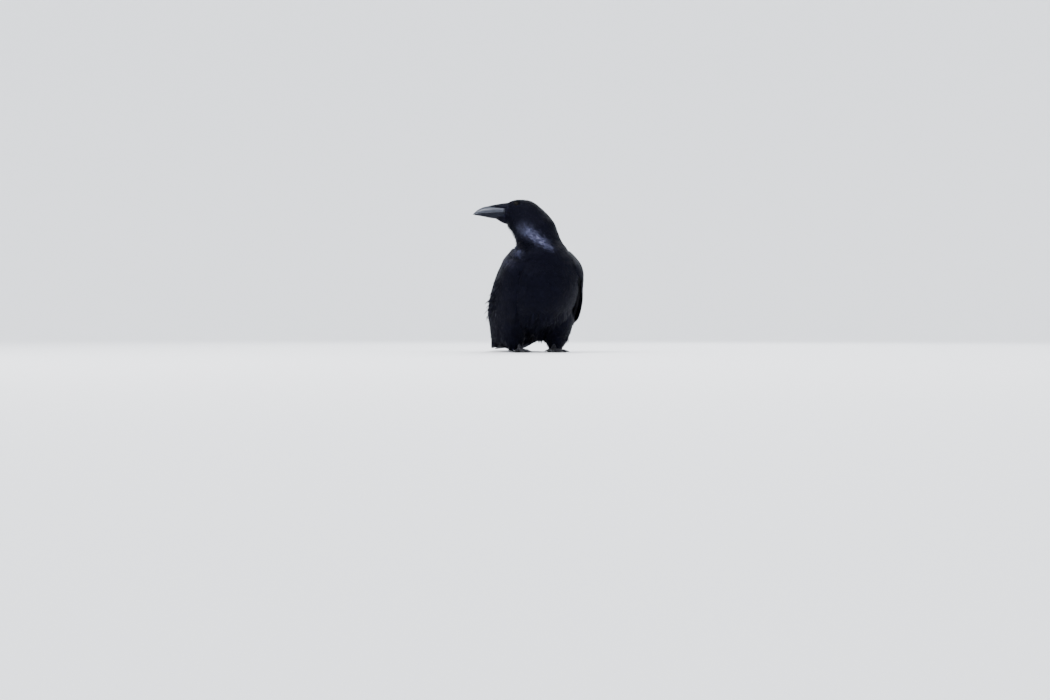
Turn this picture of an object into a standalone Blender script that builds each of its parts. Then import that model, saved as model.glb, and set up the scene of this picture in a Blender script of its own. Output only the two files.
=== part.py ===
"""A common raven at life size, standing with its head turned over its right shoulder, as separate closed solids.

The bird's chest faces -Y, its left side is +X and +Z is up. Each fleshy piece is a loft: rings carried along the
body between a belly rail and a back rail. Neighbouring lengths are split by flat cuts, and pieces that lie against
each other are parted by Booleans, so that everything meets with a small clearance. The surface of the head, neck,
trunk, wings, tail and thighs is where the tips of the feathers lie.
"""

import math

import bmesh
import bpy
import numpy as np

MM = 0.001

# Driving dimensions, in millimetres and degrees. Places are measured from the floor point between the feet.
CLEARANCE = 0.3  # left between any two pieces
CUT_GAP = 0.72  # in the middle of a cut across the body; the inside of a bend gets less
TO_BOX_CENTRE = (24.1, -99.9, 0.0)  # from the point between the feet to the origin
CULMEN = 66.0  # the bill's length from the forehead's feathers
HEAD_TURN = 104.0  # from straight ahead towards the right wing
HEAD_ROLL = 8.0  # how far the crown leans away from the side that the chest faces
HEAD_PLACE = (-77.6, -42.5, 302.0)  # middle of the forehead's feather edge
EYE_RADIUS = 7.5
EYE_PLACE = (-24.0, -2.2, 11.4)  # forward of the feather edge, above it, and out from the middle plane
HOCK = (42.5, 24.0, 34.0)
ANKLE = (36.0, 1.0, 7.5)
FOOT_TURN = 6.0  # toes outwards
SOLE_SINK = 0.7  # how deep the pads are pressed flat
HUB_RADIUS = 6.6  # where the toes meet

# name, degrees inwards from straight ahead, pad length, base radius, tip radius, claw length, claw radius
TOES = (
    ("inner", 24.0, 33.0, 4.7, 3.6, 16.0, 2.4),
    ("middle", 1.0, 45.0, 5.0, 3.7, 18.0, 2.5),
    ("outer", -24.0, 35.0, 4.6, 3.5, 15.0, 2.3),
    ("hind", 176.0, 26.0, 5.2, 4.0, 21.0, 2.8),
)

RING_SIDES = 28  # of the head, neck and trunk
WING_GRID = (17, 8)  # rings along a wing, points across each face
SHARP_EDGE = 50.0  # edges bent by more than this many degrees stay crisp

# base colour and roughness of each finish
FINISHES = {
    "plumage": ((0.012, 0.012, 0.018), 0.42),
    "horn": ((0.055, 0.057, 0.064), 0.32),
    "bristle": ((0.010, 0.010, 0.012), 0.50),
    "eye": ((0.020, 0.012, 0.008), 0.06),
    "scale": ((0.030, 0.030, 0.032), 0.50),
    "claw": ((0.018, 0.018, 0.020), 0.30),
}


# ---------------------------------------------------------------- curves and meshes


def unit(v):
    v = np.asarray(v, float)
    return v / np.linalg.norm(v, axis=-1, keepdims=True)


def column(table, index):
    return np.array([row[index] for row in table], float)


def along(values, at):
    """Smooth curve through a row of stations (Catmull-Rom), read at fractional station numbers."""
    values = np.asarray(values, float)
    last = len(values) - 1
    i = np.clip(np.floor(at).astype(int), 0, last - 1)
    t = (at - i).reshape((-1,) + (1,) * (values.ndim - 1))
    ends = np.concatenate([[2 * values[0] - values[1]], values, [2 * values[-1] - values[-2]]])
    a, b, c, d = (ends[i + k] for k in range(4))
    return 0.5 * (2 * b + (c - a) * t + (2 * a - 5 * b + 4 * c - d) * t**2 + (3 * b - a - 3 * c + d) * t**3)


def turn_around(sides):
    return np.linspace(0, 2 * math.pi, sides, endpoint=False)[None, :, None]


def collection(name):
    made = bpy.data.collections.new(name)
    bpy.context.scene.collection.children.link(made)
    return made


def material(name):
    found = bpy.data.materials.get(name)
    if found:
        return found
    colour, roughness = FINISHES[name]
    made = bpy.data.materials.new(name)
    made.use_nodes = True
    shader = made.node_tree.nodes["Principled BSDF"]
    shader.inputs["Base Color"].default_value = (*colour, 1.0)
    shader.inputs["Roughness"].default_value = roughness
    made.diffuse_color = (*colour, 1.0)
    return made


def add_object(name, bm, finish, group):
    """Makes the object from a mesh in millimetres measured from between the feet. Helpers are hidden."""
    bmesh.ops.recalc_face_normals(bm, faces=bm.faces)
    bmesh.ops.translate(bm, vec=TO_BOX_CENTRE, verts=bm.verts)
    bmesh.ops.scale(bm, vec=(MM, MM, MM), verts=bm.verts)
    mesh = bpy.data.meshes.new(name)
    bm.to_mesh(mesh)
    bm.free()
    mesh.materials.append(material(finish))
    mesh.shade_smooth()
    mesh.set_sharp_from_angle(angle=math.radians(SHARP_EDGE))
    obj = bpy.data.objects.new(name, mesh)
    group.objects.link(obj)
    if group.name == "cutters":
        obj.hide_render = True
        obj.display_type = "WIRE"
    return obj


def loft(name, rings, finish, group):
    """A closed solid of triangles through rings of points, (ring, side, xyz), with a flat cap at each end."""
    sides = rings.shape[1]
    bm = bmesh.new()
    rows = [[bm.verts.new(p) for p in ring] for ring in rings]
    for one, two in zip(rows, rows[1:]):
        for j in range(sides):
            k = (j + 1) % sides
            bm.faces.new((one[j], one[k], two[k]))
            bm.faces.new((one[j], two[k], two[j]))
    bm.faces.new(rows[0])
    bm.faces.new(rows[-1])
    return add_object(name, bm, finish, group)


def sphere(name, place, radius, finish, group):
    bm = bmesh.new()
    bmesh.ops.create_uvsphere(bm, u_segments=12, v_segments=7, radius=radius)
    bmesh.ops.translate(bm, vec=place, verts=bm.verts)
    return add_object(name, bm, finish, group)


def boolean(obj, other, operation):
    modifier = obj.modifiers.new(other.name, "BOOLEAN")
    modifier.operation = operation
    modifier.solver = "EXACT"
    modifier.object = other


def bent_tube(points, wide, deep, sides, count, aside=(1.0, 0.0, 0.0)):
    """Rings of a tube along a smooth path, with its own half width and half depth along the way."""
    at = np.linspace(0, len(points) - 1, count)
    path, wide, deep = along(points, at), along(wide, at), along(deep, at)
    ahead, aside = unit(np.gradient(path, axis=0)), np.asarray(aside, float)
    aside = unit(aside - ahead * (ahead @ aside)[:, None])
    turn = turn_around(sides)
    ring = aside[:, None] * np.cos(turn) * wide[:, None, None]
    return path[:, None] + ring + np.cross(ahead, aside)[:, None] * np.sin(turn) * deep[:, None, None]


# ---------------------------------------------------------------- head, neck and trunk: one tube in three lengths

TURN, ROLL = math.radians(HEAD_TURN), math.radians(HEAD_ROLL)
SKY = np.array([0.0, 0.0, 1.0])
FORWARD = np.array([-math.sin(TURN), -math.cos(TURN), 0.0])
FLAT_LEFT = np.cross(SKY, FORWARD)
UP = math.cos(ROLL) * SKY - math.sin(ROLL) * FLAT_LEFT
LEFT = math.cos(ROLL) * FLAT_LEFT + math.sin(ROLL) * SKY

# Throat-side point and crown-side point, each forward and above the forehead's feather edge in the head's middle
# plane; half width; how much wider the ring is towards the throat.
HEAD_STATIONS = (
    ((-1.4, -37.0), (-1.0, 0.0), 12.8, 0.00),
    ((-8.0, -45.0), (-13.0, 6.2), 18.2, 0.03),
    ((-15.0, -53.0), (-30.0, 9.4), 21.8, 0.04),
    ((-20.0, -61.5), (-55.0, 5.0), 25.5, 0.05),
    ((-23.0, -69.0), (-82.0, -17.0), 29.5, 0.03),
    ((-24.0, -76.0), (-101.0, -42.0), 34.0, 0.00),
)
# Belly-side point and back-side point; half width; how much wider towards the belly; where the belly side faces,
# in degrees towards the right wing.
BODY_STATIONS = (
    ((-53.5, -59.9, 217.4), (32.0, -38.1, 236.0), 44.0, 0.00, 76.0),
    ((-45.0, -89.8, 199.6), (24.5, -10.2, 223.4), 55.0, 0.00, 42.0),
    ((-15.0, -103.9, 175.2), (5.5, 15.9, 214.8), 67.5, 0.03, 10.0),
    ((0.0, -109.0, 144.0), (0.0, 37.0, 203.0), 76.0, 0.06, 0.0),
    ((0.0, -96.0, 106.0), (0.0, 58.0, 184.0), 79.0, 0.08, 0.0),
    ((0.0, -67.0, 75.0), (0.0, 81.0, 162.0), 79.0, 0.08, 0.0),
    ((0.0, -27.0, 54.0), (0.0, 103.0, 139.0), 73.0, 0.06, 0.0),
    ((0.0, 17.0, 43.0), (0.0, 124.0, 116.0), 62.0, 0.03, 0.0),
    ((0.0, 60.0, 40.0), (0.0, 143.0, 94.0), 48.0, 0.00, 0.0),
    ((0.0, 102.0, 40.0), (0.0, 160.0, 73.0), 35.0, 0.00, 0.0),
    ((0.0, 136.0, 39.0), (0.0, 173.0, 56.0), 27.0, 0.00, 0.0),
    ((0.0, 164.0, 36.5), (0.0, 184.0, 43.0), 22.0, 0.00, 0.0),
)
FULLNESS = 0.78  # power on the sine across a ring of the head: 1 is an ellipse, less has fuller corners
NECK_START, TRUNK_START = 3.6, 7.2  # station numbers of the two cuts
LAST_STATION = len(HEAD_STATIONS) + len(BODY_STATIONS) - 1


def from_head(points):
    """Places points given as forward, up and left of the forehead's feather edge."""
    return HEAD_PLACE + np.asarray(points, float) @ np.array([FORWARD, UP, LEFT])


def body_rings(start, end, count, widen=0.0):
    """Rings of the body tube between two station numbers: ellipses whose long axis runs from the belly rail to the
    back rail, flatter on the sides at the head. widen swells every ring by that much."""
    middle_plane = np.zeros((len(HEAD_STATIONS), 1))
    facing = np.radians(column(BODY_STATIONS, 4))
    heading = np.stack([np.cos(facing), -np.sin(facing), 0 * facing], -1)
    belly_head = from_head(np.hstack([column(HEAD_STATIONS, 0), middle_plane]))
    back_head = from_head(np.hstack([column(HEAD_STATIONS, 1), middle_plane]))
    at = np.linspace(start, end, count)
    belly = along(np.concatenate([belly_head, column(BODY_STATIONS, 0)]), at)
    back = along(np.concatenate([back_head, column(BODY_STATIONS, 1)]), at)
    side = along(np.concatenate([np.tile(LEFT, (len(HEAD_STATIONS), 1)), heading]), at)
    half, low = (along(column(HEAD_STATIONS + BODY_STATIONS, k), at)[:, None, None] for k in (2, 3))
    middle, rise = (belly + back) / 2, (back - belly) / 2
    side = unit(side - unit(rise) * (side * unit(rise)).sum(1, keepdims=True))[:, None]
    turn = turn_around(RING_SIDES)
    round_at, full_at = len(HEAD_STATIONS) + 1, len(HEAD_STATIONS) - 2
    power = np.interp(at, (full_at, round_at), (FULLNESS, 1.0))[:, None, None]
    out = np.sign(np.sin(turn)) * np.abs(np.sin(turn)) ** power * half * (1 - low * np.cos(turn))
    depth = np.linalg.norm(rise, axis=1)[:, None, None] + widen
    lift = unit(rise)[:, None] * depth * np.cos(turn)
    return middle[:, None] + lift + side * (out + widen * np.sin(turn))


def cut_margin(at):
    """How far from a cut each side's last ring stops, in station numbers: half the gap."""
    step = 0.01
    near = body_rings(at - step, at + step, 2).mean(1)
    return step * CUT_GAP / np.linalg.norm(near[1] - near[0])


# ---------------------------------------------------------------- bill, its bristles and the eyes

# Along the bill: forward, then the heights of culmen, mouth line and keel (all from the feather edge), half width.
BILL_STATIONS = (
    (-0.6, -0.8, -18.0, -33.0, 11.8),
    (14.6, -1.6, -18.4, -30.2, 10.6),
    (30.6, -3.0, -18.6, -28.0, 8.6),
    (44.0, -5.6, -19.0, -25.2, 6.2),
    (55.5, -11.2, -19.8, -23.2, 3.9),
    (62.5, -17.0, -20.8, -22.2, 1.9),
)
BILL_TIP = (CULMEN, -21.2, 0.0)
TIP_SHARE = 0.22  # size of the tip's ring beside the one before it
LOWER_WIDTH = 0.93  # of the lower mandible beside the upper
CULMEN_ARCH, KEEL_ARCH = 0.8, 0.7  # powers on the sine that round the two arches: less is squarer
RIDGE_PINCH = 0.33  # how much the upper arch narrows at the culmen

# Feathers of the face that lie on the bill: name, finish, middle of the spread in degrees round the bill, how many
# bill stations they reach forward, greatest thickness.
FACE_FEATHERS = (("nasal_bristles", "bristle", 90, 2.0, 2.6), ("chin", "plumage", 270, 1.0, 3.4))
FACE_SPREAD = 52.0  # degrees to each side of the middle
FACE_EDGE = 0.7  # thickness at the edges and the front


def upper_arch(row, arc, grow=0.0):
    """The upper mandible's arch at one place: forward, up, left. It narrows to a ridge at the culmen."""
    forward, top, mouth, _, half = row
    lift = mouth + (top - mouth + grow) * np.sin(arc) ** CULMEN_ARCH
    out = (half + grow) * np.cos(arc) * (1 - RIDGE_PINCH * np.sin(arc) ** 4)
    return np.stack([0 * arc + forward, lift, out], -1)


def lower_arch(row, arc, grow=0.0):
    """The lower mandible's bowl at one place, with arc running from 180 to 360 degrees."""
    forward, _, mouth, keel, half = row
    slit = mouth - CLEARANCE
    depth = (slit - keel + grow) * np.abs(np.sin(arc)) ** KEEL_ARCH
    return np.stack([0 * arc + forward, slit - depth, (LOWER_WIDTH * half + grow) * np.cos(arc)], -1)


def make_bill(group):
    rows = along(BILL_STATIONS, np.linspace(0, len(BILL_STATIONS) - 1, 10))
    arc = np.linspace(0, math.pi, 9)
    upper, lower = [], []
    for row in rows:
        forward, _, mouth, _, _ = row
        upper.append(np.concatenate([upper_arch(row, arc), [(forward, mouth, 0)]]))
        lower.append(np.concatenate([lower_arch(row, arc + math.pi), [(forward, mouth - CLEARANCE, 0)]]))
    upper.append(BILL_TIP + (upper[-1] - upper[-1].mean(0)) * TIP_SHARE)
    loft("bill_upper", from_head(upper), "horn", group)
    loft("bill_lower", from_head(lower), "horn", group)


def make_face_feathers(group):
    """The saddle of stiff bristles that lies forward over the nostrils, and the chin's feathers under the keel."""
    spread = np.linspace(-1, 1, 7)
    for name, finish, middle, reach, thick in FACE_FEATHERS:
        arc = np.radians(middle + FACE_SPREAD * spread)
        rings = []
        for share in np.linspace(0, 1, 5):
            row = along(BILL_STATIONS, np.array([share * reach]))[0]
            height = FACE_EDGE + thick * (1 - share) ** 0.8 * (1 - 0.8 * spread**2)
            arch = upper_arch if middle == 90 else lower_arch
            outer, inner = arch(row, arc, CLEARANCE + height), arch(row, arc, CLEARANCE + 0 * height)
            rings.append(np.concatenate([outer, inner[::-1]]))
        loft(name, from_head(rings), finish, group)


# ---------------------------------------------------------------- wings, flight feathers and tail

# Left wing from its bend to the tips of the secondaries: lower edge, widest line, upper edge, thickness. Where it
# lies on the trunk the thickness reaches inside it, and is cut back.
WING_STATIONS = (
    ((59, -85, 168), (62, -84, 179), (54, -70, 193), 18.0),
    ((78, -68, 153), (81, -53, 178), (60, -42, 207), 22.0),
    ((85, -44, 126), (86, -21, 162), (59, -8, 208), 26.0),
    ((88, -20, 97), (90, 14, 134), (51, 32, 191), 26.0),
    ((88, 8, 72), (86, 56, 107), (40, 70, 160), 24.0),
    ((79, 61, 56), (72, 101, 84), (29, 114, 123), 18.0),
    ((64, 120, 46), (51, 150, 63), (20, 163, 80), 11.0),
    ((50, 160, 40), (36, 193, 48), (13, 210, 54), 5.0),
)
# The stack of primaries that comes out from under it.
PRIMARY_STATIONS = (
    ((60, 118, 44), (50, 128, 52), (34, 136, 58), 4.0),
    ((54, 165, 36), (42, 176, 42), (22, 186, 45), 5.0),
    ((42, 222, 27), (31, 232, 32), (12, 236, 36), 4.5),
    ((31, 268, 17), (21, 275, 22), (8, 276, 25), 3.4),
    ((21, 289, 12.5), (15, 294, 14.5), (9, 293, 16), 1.6),
)
EDGE_THICKNESS = 1.0
EDGE_POWER = 8  # how suddenly a blade's depth drops at its edges

# Middle of the tail from the rump to the tip; half width; thickness.
TAIL_STATIONS = (
    ((0, 140, 43), 20.0, 11.0),
    ((0, 190, 31.5), 26.0, 7.5),
    ((0, 235, 20), 29.0, 5.8),
    ((0, 280, 10), 29.0, 4.6),
    ((0, 298, 7), 23.0, 3.6),
    ((0, 309, 5.6), 9.0, 2.6),
)
TAIL_SAG = 0.07  # how far its edges hang down, as a share of the half width
TAIL_EDGE = 0.7  # how much thinner the edges are than the middle


def blade_rings(stations, count, across, grow=0.0):
    """Rings of a folded wing: an outer face curved over three rails, and an inner face that drops away steeply from
    both edges. grow swells it on every side."""
    at = np.linspace(0, len(stations) - 1, count)
    low, wide, top = (along(column(stations, k), at)[:, None] for k in range(3))
    v = np.linspace(0, 1, across)[None, :, None]
    outer = low * (1 - v) ** 2 + (4 * wide - low - top) * v * (1 - v) + top * v**2
    over, fore = unit(np.gradient(outer, axis=1)), unit(np.gradient(outer, axis=0))
    normal = unit(np.cross(np.gradient(wide[:, 0], axis=0), (top - low)[:, 0]))[:, None]
    edge = np.sign(2 * v - 1) * (np.abs(2 * v - 1) > 0.99)
    end = np.zeros((count, 1, 1))
    end[0], end[-1] = -1, 1
    outer = outer + grow * (edge * over + 3 * end * fore)
    inward = along(column(stations, 3), at)[:, None, None] - EDGE_THICKNESS
    depth = EDGE_THICKNESS + inward * (1 - (2 * v - 1) ** EDGE_POWER)
    inner = outer - normal * (depth + grow)
    return np.concatenate([outer + normal * grow, inner[:, ::-1]], axis=1)


def make_wing(name, side, body_form, bird, cutters):
    mirror = (side, 1, 1)
    wing = loft(f"wing_{name}", blade_rings(WING_STATIONS, *WING_GRID) * mirror, "plumage", bird)
    boolean(wing, body_form, "DIFFERENCE")
    form = blade_rings(WING_STATIONS, *WING_GRID, grow=3 * CLEARANCE) * mirror
    form = loft(f"wing_form_{name}", form, "plumage", cutters)
    tips = loft(f"primaries_{name}", blade_rings(PRIMARY_STATIONS, 9, 6) * mirror, "plumage", bird)
    boolean(tips, form, "DIFFERENCE")
    boolean(tips, body_form, "DIFFERENCE")
    return form


def make_tail(body_form, group):
    at = np.linspace(0, len(TAIL_STATIONS) - 1, 10)
    half, thick = (along(column(TAIL_STATIONS, k), at)[:, None] for k in (1, 2))
    v = np.linspace(-1, 1, 7)[None]
    sag, depth = -TAIL_SAG * half * v**2, thick / 2 * (1 - TAIL_EDGE * v**4)
    top, under = (np.stack([half * v, 0 * depth, sag + sign * depth], -1) for sign in (1, -1))
    rings = np.concatenate([top, under[:, ::-1]], axis=1)
    tail = loft("tail", along(column(TAIL_STATIONS, 0), at)[:, None] + rings, "plumage", group)
    boolean(tail, body_form, "DIFFERENCE")


# ---------------------------------------------------------------- legs

# Middle of the feathered left thigh from inside the flank to above the foot; half width; half depth.
THIGH_STATIONS = (
    ((47.0, -8.0, 98.0), 29.0, 34.0),
    ((48.0, 6.0, 75.0), 28.0, 33.0),
    ((48.0, 17.0, 56.0), 24.5, 29.0),
    ((47.0, 22.0, 41.5), 22.0, 24.5),
    ((46.5, 21.5, 29.0), 19.5, 20.0),
    ((45.0, 20.5, 17.5), 12.0, 12.5),
)
# From the hock to the ankle: half width, half depth.
SHANK_STATIONS = ((3.8, 4.6), (3.3, 4.2), (3.5, 4.2), (4.4, 4.9))

# Along a toe: swelling of its pads. Along a claw: share of its length, share of its fall, share of its radius.
PADS = (1.0, 1.04, 0.92, 1.06, 0.92, 1.0, 0.97)
CLAW_CURVE = (
    (0.0, 0.0, 1.0),
    (0.1, 0.0, 0.97),
    (0.36, -0.1, 0.85),
    (0.68, 0.16, 0.6),
    (0.9, 0.6, 0.34),
    (1.0, 1.0, 0.12),
)
CLAW_TIP_HEIGHT = 1.4
CLAW_WIDTH = 0.8  # beside its depth
FLOOR_BLOCK = (400.0, 400.0, 20.0)


def make_thigh(name, side, forms, group):
    path = column(THIGH_STATIONS, 0) * (side, 1, 1)
    rings = bent_tube(path, column(THIGH_STATIONS, 1), column(THIGH_STATIONS, 2), 16, 8)
    thigh = loft(f"thigh_{name}", rings, "plumage", group)
    for form in forms:
        boolean(thigh, form, "DIFFERENCE")


def shank_rings(side, widen=0.0):
    path = np.linspace(HOCK, ANKLE, len(SHANK_STATIONS)) * (side, 1, 1)
    path[0] += unit(path[0] - path[1]) * widen
    wide, deep = column(SHANK_STATIONS, 0), column(SHANK_STATIONS, 1)
    return bent_tube(path, wide + widen, deep + widen, 10, 5)


def make_toe(name, side, row, hub_place, bird, cutters):
    """One toe with its row of pads as a helper, and its claw as a piece of its own."""
    toe, inwards, length, thick, thin, claw_length, claw_radius = row
    turn = math.radians(FOOT_TURN - inwards)
    heading = np.array([side * math.sin(turn), -math.cos(turn), 0.0])
    aside = np.cross(SKY, heading)
    radius = np.linspace(thick, thin, len(PADS)) * PADS
    path = hub_place * (1, 1, 0) + heading * np.linspace(1.0, length, len(PADS))[:, None]
    path = path + SKY * (radius - SOLE_SINK)[:, None]
    made = loft(f"toe_{toe}_{name}", bent_tube(path, radius, radius, 8, len(PADS), aside), "scale", cutters)

    reach, fall, share = np.array(CLAW_CURVE).T
    start = path[-1] + heading * 2 * CLEARANCE
    claw = start + heading * claw_length * reach[:, None] - SKY * (start[2] - CLAW_TIP_HEIGHT) * fall[:, None]
    deep = claw_radius * share
    loft(f"claw_{toe}_{name}", bent_tube(claw, deep * CLAW_WIDTH, deep, 7, len(deep), aside), "claw", bird)
    return made


def make_foot(name, side, floor_form, bird, cutters):
    """Shank, hub and four toes in one piece, pressed flat on the floor, and four claws."""
    hub_place = np.array((side * ANKLE[0], ANKLE[1], HUB_RADIUS - CLEARANCE))
    foot = sphere(f"foot_{name}", hub_place, HUB_RADIUS, "scale", bird)
    boolean(foot, loft(f"shank_{name}", shank_rings(side), "scale", cutters), "UNION")
    for row in TOES:
        boolean(foot, make_toe(name, side, row, hub_place, bird, cutters), "UNION")
    boolean(foot, floor_form, "DIFFERENCE")


# ---------------------------------------------------------------- putting the bird together


def make_raven():
    bird, cutters = collection("raven"), collection("cutters")
    neck_gap, trunk_gap = cut_margin(NECK_START), cut_margin(TRUNK_START)
    head = loft("head", body_rings(0, NECK_START - neck_gap, 13), "plumage", bird)
    loft("neck", body_rings(NECK_START + neck_gap, TRUNK_START - trunk_gap, 10), "plumage", bird)
    loft("trunk", body_rings(TRUNK_START + trunk_gap, LAST_STATION, 20), "plumage", bird)
    form = [
        body_rings(NECK_START + neck_gap, TRUNK_START - trunk_gap, 10, widen=CLEARANCE),
        body_rings(TRUNK_START + trunk_gap, LAST_STATION, 20, widen=CLEARANCE),
    ]
    body_form = loft("body_form", np.concatenate(form), "plumage", cutters)

    make_bill(bird)
    make_face_feathers(bird)
    make_tail(body_form, bird)
    bm = bmesh.new()
    bmesh.ops.create_cube(bm, size=1.0)
    bmesh.ops.scale(bm, vec=FLOOR_BLOCK, verts=bm.verts)
    bmesh.ops.translate(bm, vec=(0, 0, -FLOOR_BLOCK[2] / 2), verts=bm.verts)
    floor_form = add_object("floor_form", bm, "scale", cutters)
    for name, side in (("left", 1), ("right", -1)):
        place = from_head(np.array(EYE_PLACE) * (1, 1, side))
        sphere(f"eye_{name}", place, EYE_RADIUS, "eye", bird)
        boolean(head, sphere(f"socket_{name}", place, EYE_RADIUS + CLEARANCE, "eye", cutters), "DIFFERENCE")
        wing_form = make_wing(name, side, body_form, bird, cutters)
        shank_form = loft(f"shank_form_{name}", shank_rings(side, widen=CLEARANCE), "scale", cutters)
        make_thigh(name, side, (body_form, wing_form, shank_form), bird)
        make_foot(name, side, floor_form, bird, cutters)


for old in list(bpy.data.objects):
    bpy.data.objects.remove(old)
make_raven()
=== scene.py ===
"""A common raven at life size, as a museum shows it: a still bird that looks over its right wing.

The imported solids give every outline. Here the bird gets its skin, its plumage
vane by vane, its bill, eyes, legs and claws, and stands on a pale floor in
soft light. The chest faces -Y, the bird's left is +X, lengths are in metres.
"""

import math

import bpy
import numpy as np
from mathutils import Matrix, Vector
from mathutils.bvhtree import BVHTree


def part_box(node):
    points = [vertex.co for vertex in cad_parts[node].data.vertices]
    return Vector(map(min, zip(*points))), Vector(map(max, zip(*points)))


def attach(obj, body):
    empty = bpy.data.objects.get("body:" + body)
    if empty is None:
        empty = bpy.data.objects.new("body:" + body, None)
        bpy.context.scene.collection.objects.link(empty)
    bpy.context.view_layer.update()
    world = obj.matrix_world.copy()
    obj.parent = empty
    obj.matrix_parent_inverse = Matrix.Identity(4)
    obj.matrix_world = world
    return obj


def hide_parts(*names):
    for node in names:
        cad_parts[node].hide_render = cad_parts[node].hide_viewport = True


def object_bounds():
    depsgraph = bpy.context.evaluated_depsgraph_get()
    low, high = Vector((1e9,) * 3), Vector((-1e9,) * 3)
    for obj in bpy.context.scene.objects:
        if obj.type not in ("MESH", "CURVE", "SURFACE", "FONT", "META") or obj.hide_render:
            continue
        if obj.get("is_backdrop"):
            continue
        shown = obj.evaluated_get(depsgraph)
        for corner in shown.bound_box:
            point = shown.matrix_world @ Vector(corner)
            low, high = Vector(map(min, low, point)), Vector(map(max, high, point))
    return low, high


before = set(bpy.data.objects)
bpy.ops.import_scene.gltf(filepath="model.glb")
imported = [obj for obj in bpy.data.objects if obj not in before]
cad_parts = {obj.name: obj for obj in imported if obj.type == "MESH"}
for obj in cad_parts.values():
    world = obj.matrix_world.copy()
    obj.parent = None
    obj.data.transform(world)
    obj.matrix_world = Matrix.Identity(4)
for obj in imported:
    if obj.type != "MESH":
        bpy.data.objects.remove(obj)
cad_box = [list(corner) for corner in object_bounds()]

# ---------------------------------------------------------------- floor, light and camera
# The real bird stands out of doors under a white winter sky. Here that is a pale matt floor that sweeps up
# into a wall all round, a bright even sky over it, and three large soft lamps.

MM = 0.001
TAIL_REACH = 309 * MM  # from between the feet to the end of the tail
feet_low, feet_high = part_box("foot_right")[0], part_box("foot_left")[1]
FEET = np.array([(feet_low.x + feet_high.x) / 2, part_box("tail")[1].y - TAIL_REACH, 0.0])

FLOOR_RADIUS = 4.2  # flat part
SWEEP_RADIUS = 1.6
WALL_HEIGHT = 4.0
FLOOR_SIDES = 72
FLOOR_COLOUR = (0.88, 0.89, 0.91)
SKY_COLOUR = (0.93, 0.96, 1.0)
SKY_STRENGTH = 2.3
CAMERA_AZIMUTH = math.radians(-14.0)
CAMERA_DISTANCE = 3.0
CAMERA_HEIGHT = 0.045
CAMERA_LENS = 49.5
AIM_OFFSET, AIM_HEIGHT = -0.025, 0.005  # middle of the view, beside and above the feet

LAMP_AIM = 0.15  # above the feet
# name, place beside, before and above the feet as the camera sees them, size, watts, colour
LAMPS = (
    ("key", (-1.2, 1.5, 2.1), 0.9, 62.0, (1.0, 0.99, 1.0)),
    ("fill", (1.9, 1.4, 1.2), 1.8, 12.0, (0.95, 0.97, 1.0)),
    ("rim", (0.6, -1.7, 2.0), 1.4, 46.0, (0.95, 0.97, 1.0)),
)


class Paint:
    """One socket of a material's nodes. Arithmetic on it adds Math nodes; make adds any other node."""

    def __init__(self, tree, socket=None):
        self.tree = tree
        self.socket = socket

    def make(self, kind, settings=(), inputs=(), output=0):
        """Adds a node, sets its settings and then its sockets
        (by name or number), and returns one output."""
        node = self.tree.nodes.new("ShaderNode" + kind)
        for name, value in dict(settings).items():
            if name == "stops":
                ramp = node.color_ramp.elements
                for place, colour in value[2:]:
                    ramp.new(place)
                for stop, (place, colour) in zip(ramp, sorted(value)):
                    stop.position, stop.color = place, (*colour, 1.0)
            else:
                setattr(node, name, value)
        for name, value in dict(inputs).items():
            if isinstance(value, Paint):
                self.tree.links.new(value.socket, node.inputs[name])
            else:
                node.inputs[name].default_value = value
        return Paint(self.tree, node.outputs[output])

    def math(self, operation, *values):
        return self.make("Math", {"operation": operation}, dict(enumerate(values)))

    def __add__(self, other):
        return self.math("ADD", self, other)

    def __sub__(self, other):
        return self.math("SUBTRACT", self, other)

    def __rsub__(self, other):
        return self.math("SUBTRACT", other, self)

    def __mul__(self, other):
        return self.math("MULTIPLY", self, other)

    __radd__ = __add__
    __rmul__ = __mul__

    def mix(self, first, second):
        """Blends two colours, with this socket as the factor."""
        inputs = {0: self, 6: first, 7: second}
        return self.make("Mix", {"data_type": "RGBA"}, inputs, output=2)

    def bump(self, strength, distance):
        return self.make("Bump", (), {"Height": self, "Strength": strength, "Distance": distance})


def new_material(name, **constant):
    """A Principled material with constant sockets set by name.
    Returns it, a Paint to build with and its sockets."""
    made = bpy.data.materials.new(name)
    made.use_nodes = True
    shader = made.node_tree.nodes["Principled BSDF"]
    for socket, value in constant.items():
        shader.inputs[socket.replace("_", " ")].default_value = value
    return made, Paint(made.node_tree), shader.inputs


def feed(paint, sockets, **links):
    for name, value in links.items():
        paint.tree.links.new(value.socket, sockets[name.replace("_", " ")])


def placed(name, mesh):
    made = bpy.data.objects.new(name, mesh)
    bpy.context.scene.collection.objects.link(made)
    return made


def put_mesh(name, points, faces, material, crease=None):
    """A mesh object from points and lists of faces. crease
    keeps edges sharper than that many degrees crisp."""
    mesh = bpy.data.meshes.new(name)
    mesh.from_pydata(np.asarray(points).reshape(-1, 3).tolist(), [], faces)
    mesh.materials.append(material)
    mesh.shade_smooth()
    if crease:
        mesh.set_sharp_from_angle(angle=math.radians(crease))
    return placed(name, mesh)


def grid_faces(rows, columns, round_it=False):
    """Faces of a grid of points numbered row by row, joined across the last column if it goes round."""
    number = np.arange(rows * columns).reshape(rows, columns)
    if round_it:
        number = np.concatenate([number, number[:, :1]], axis=1)
    corners = (number[:-1, :-1], number[:-1, 1:], number[1:, 1:], number[1:, :-1])
    return np.stack(corners, -1).reshape(-1, 4).tolist()


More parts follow.
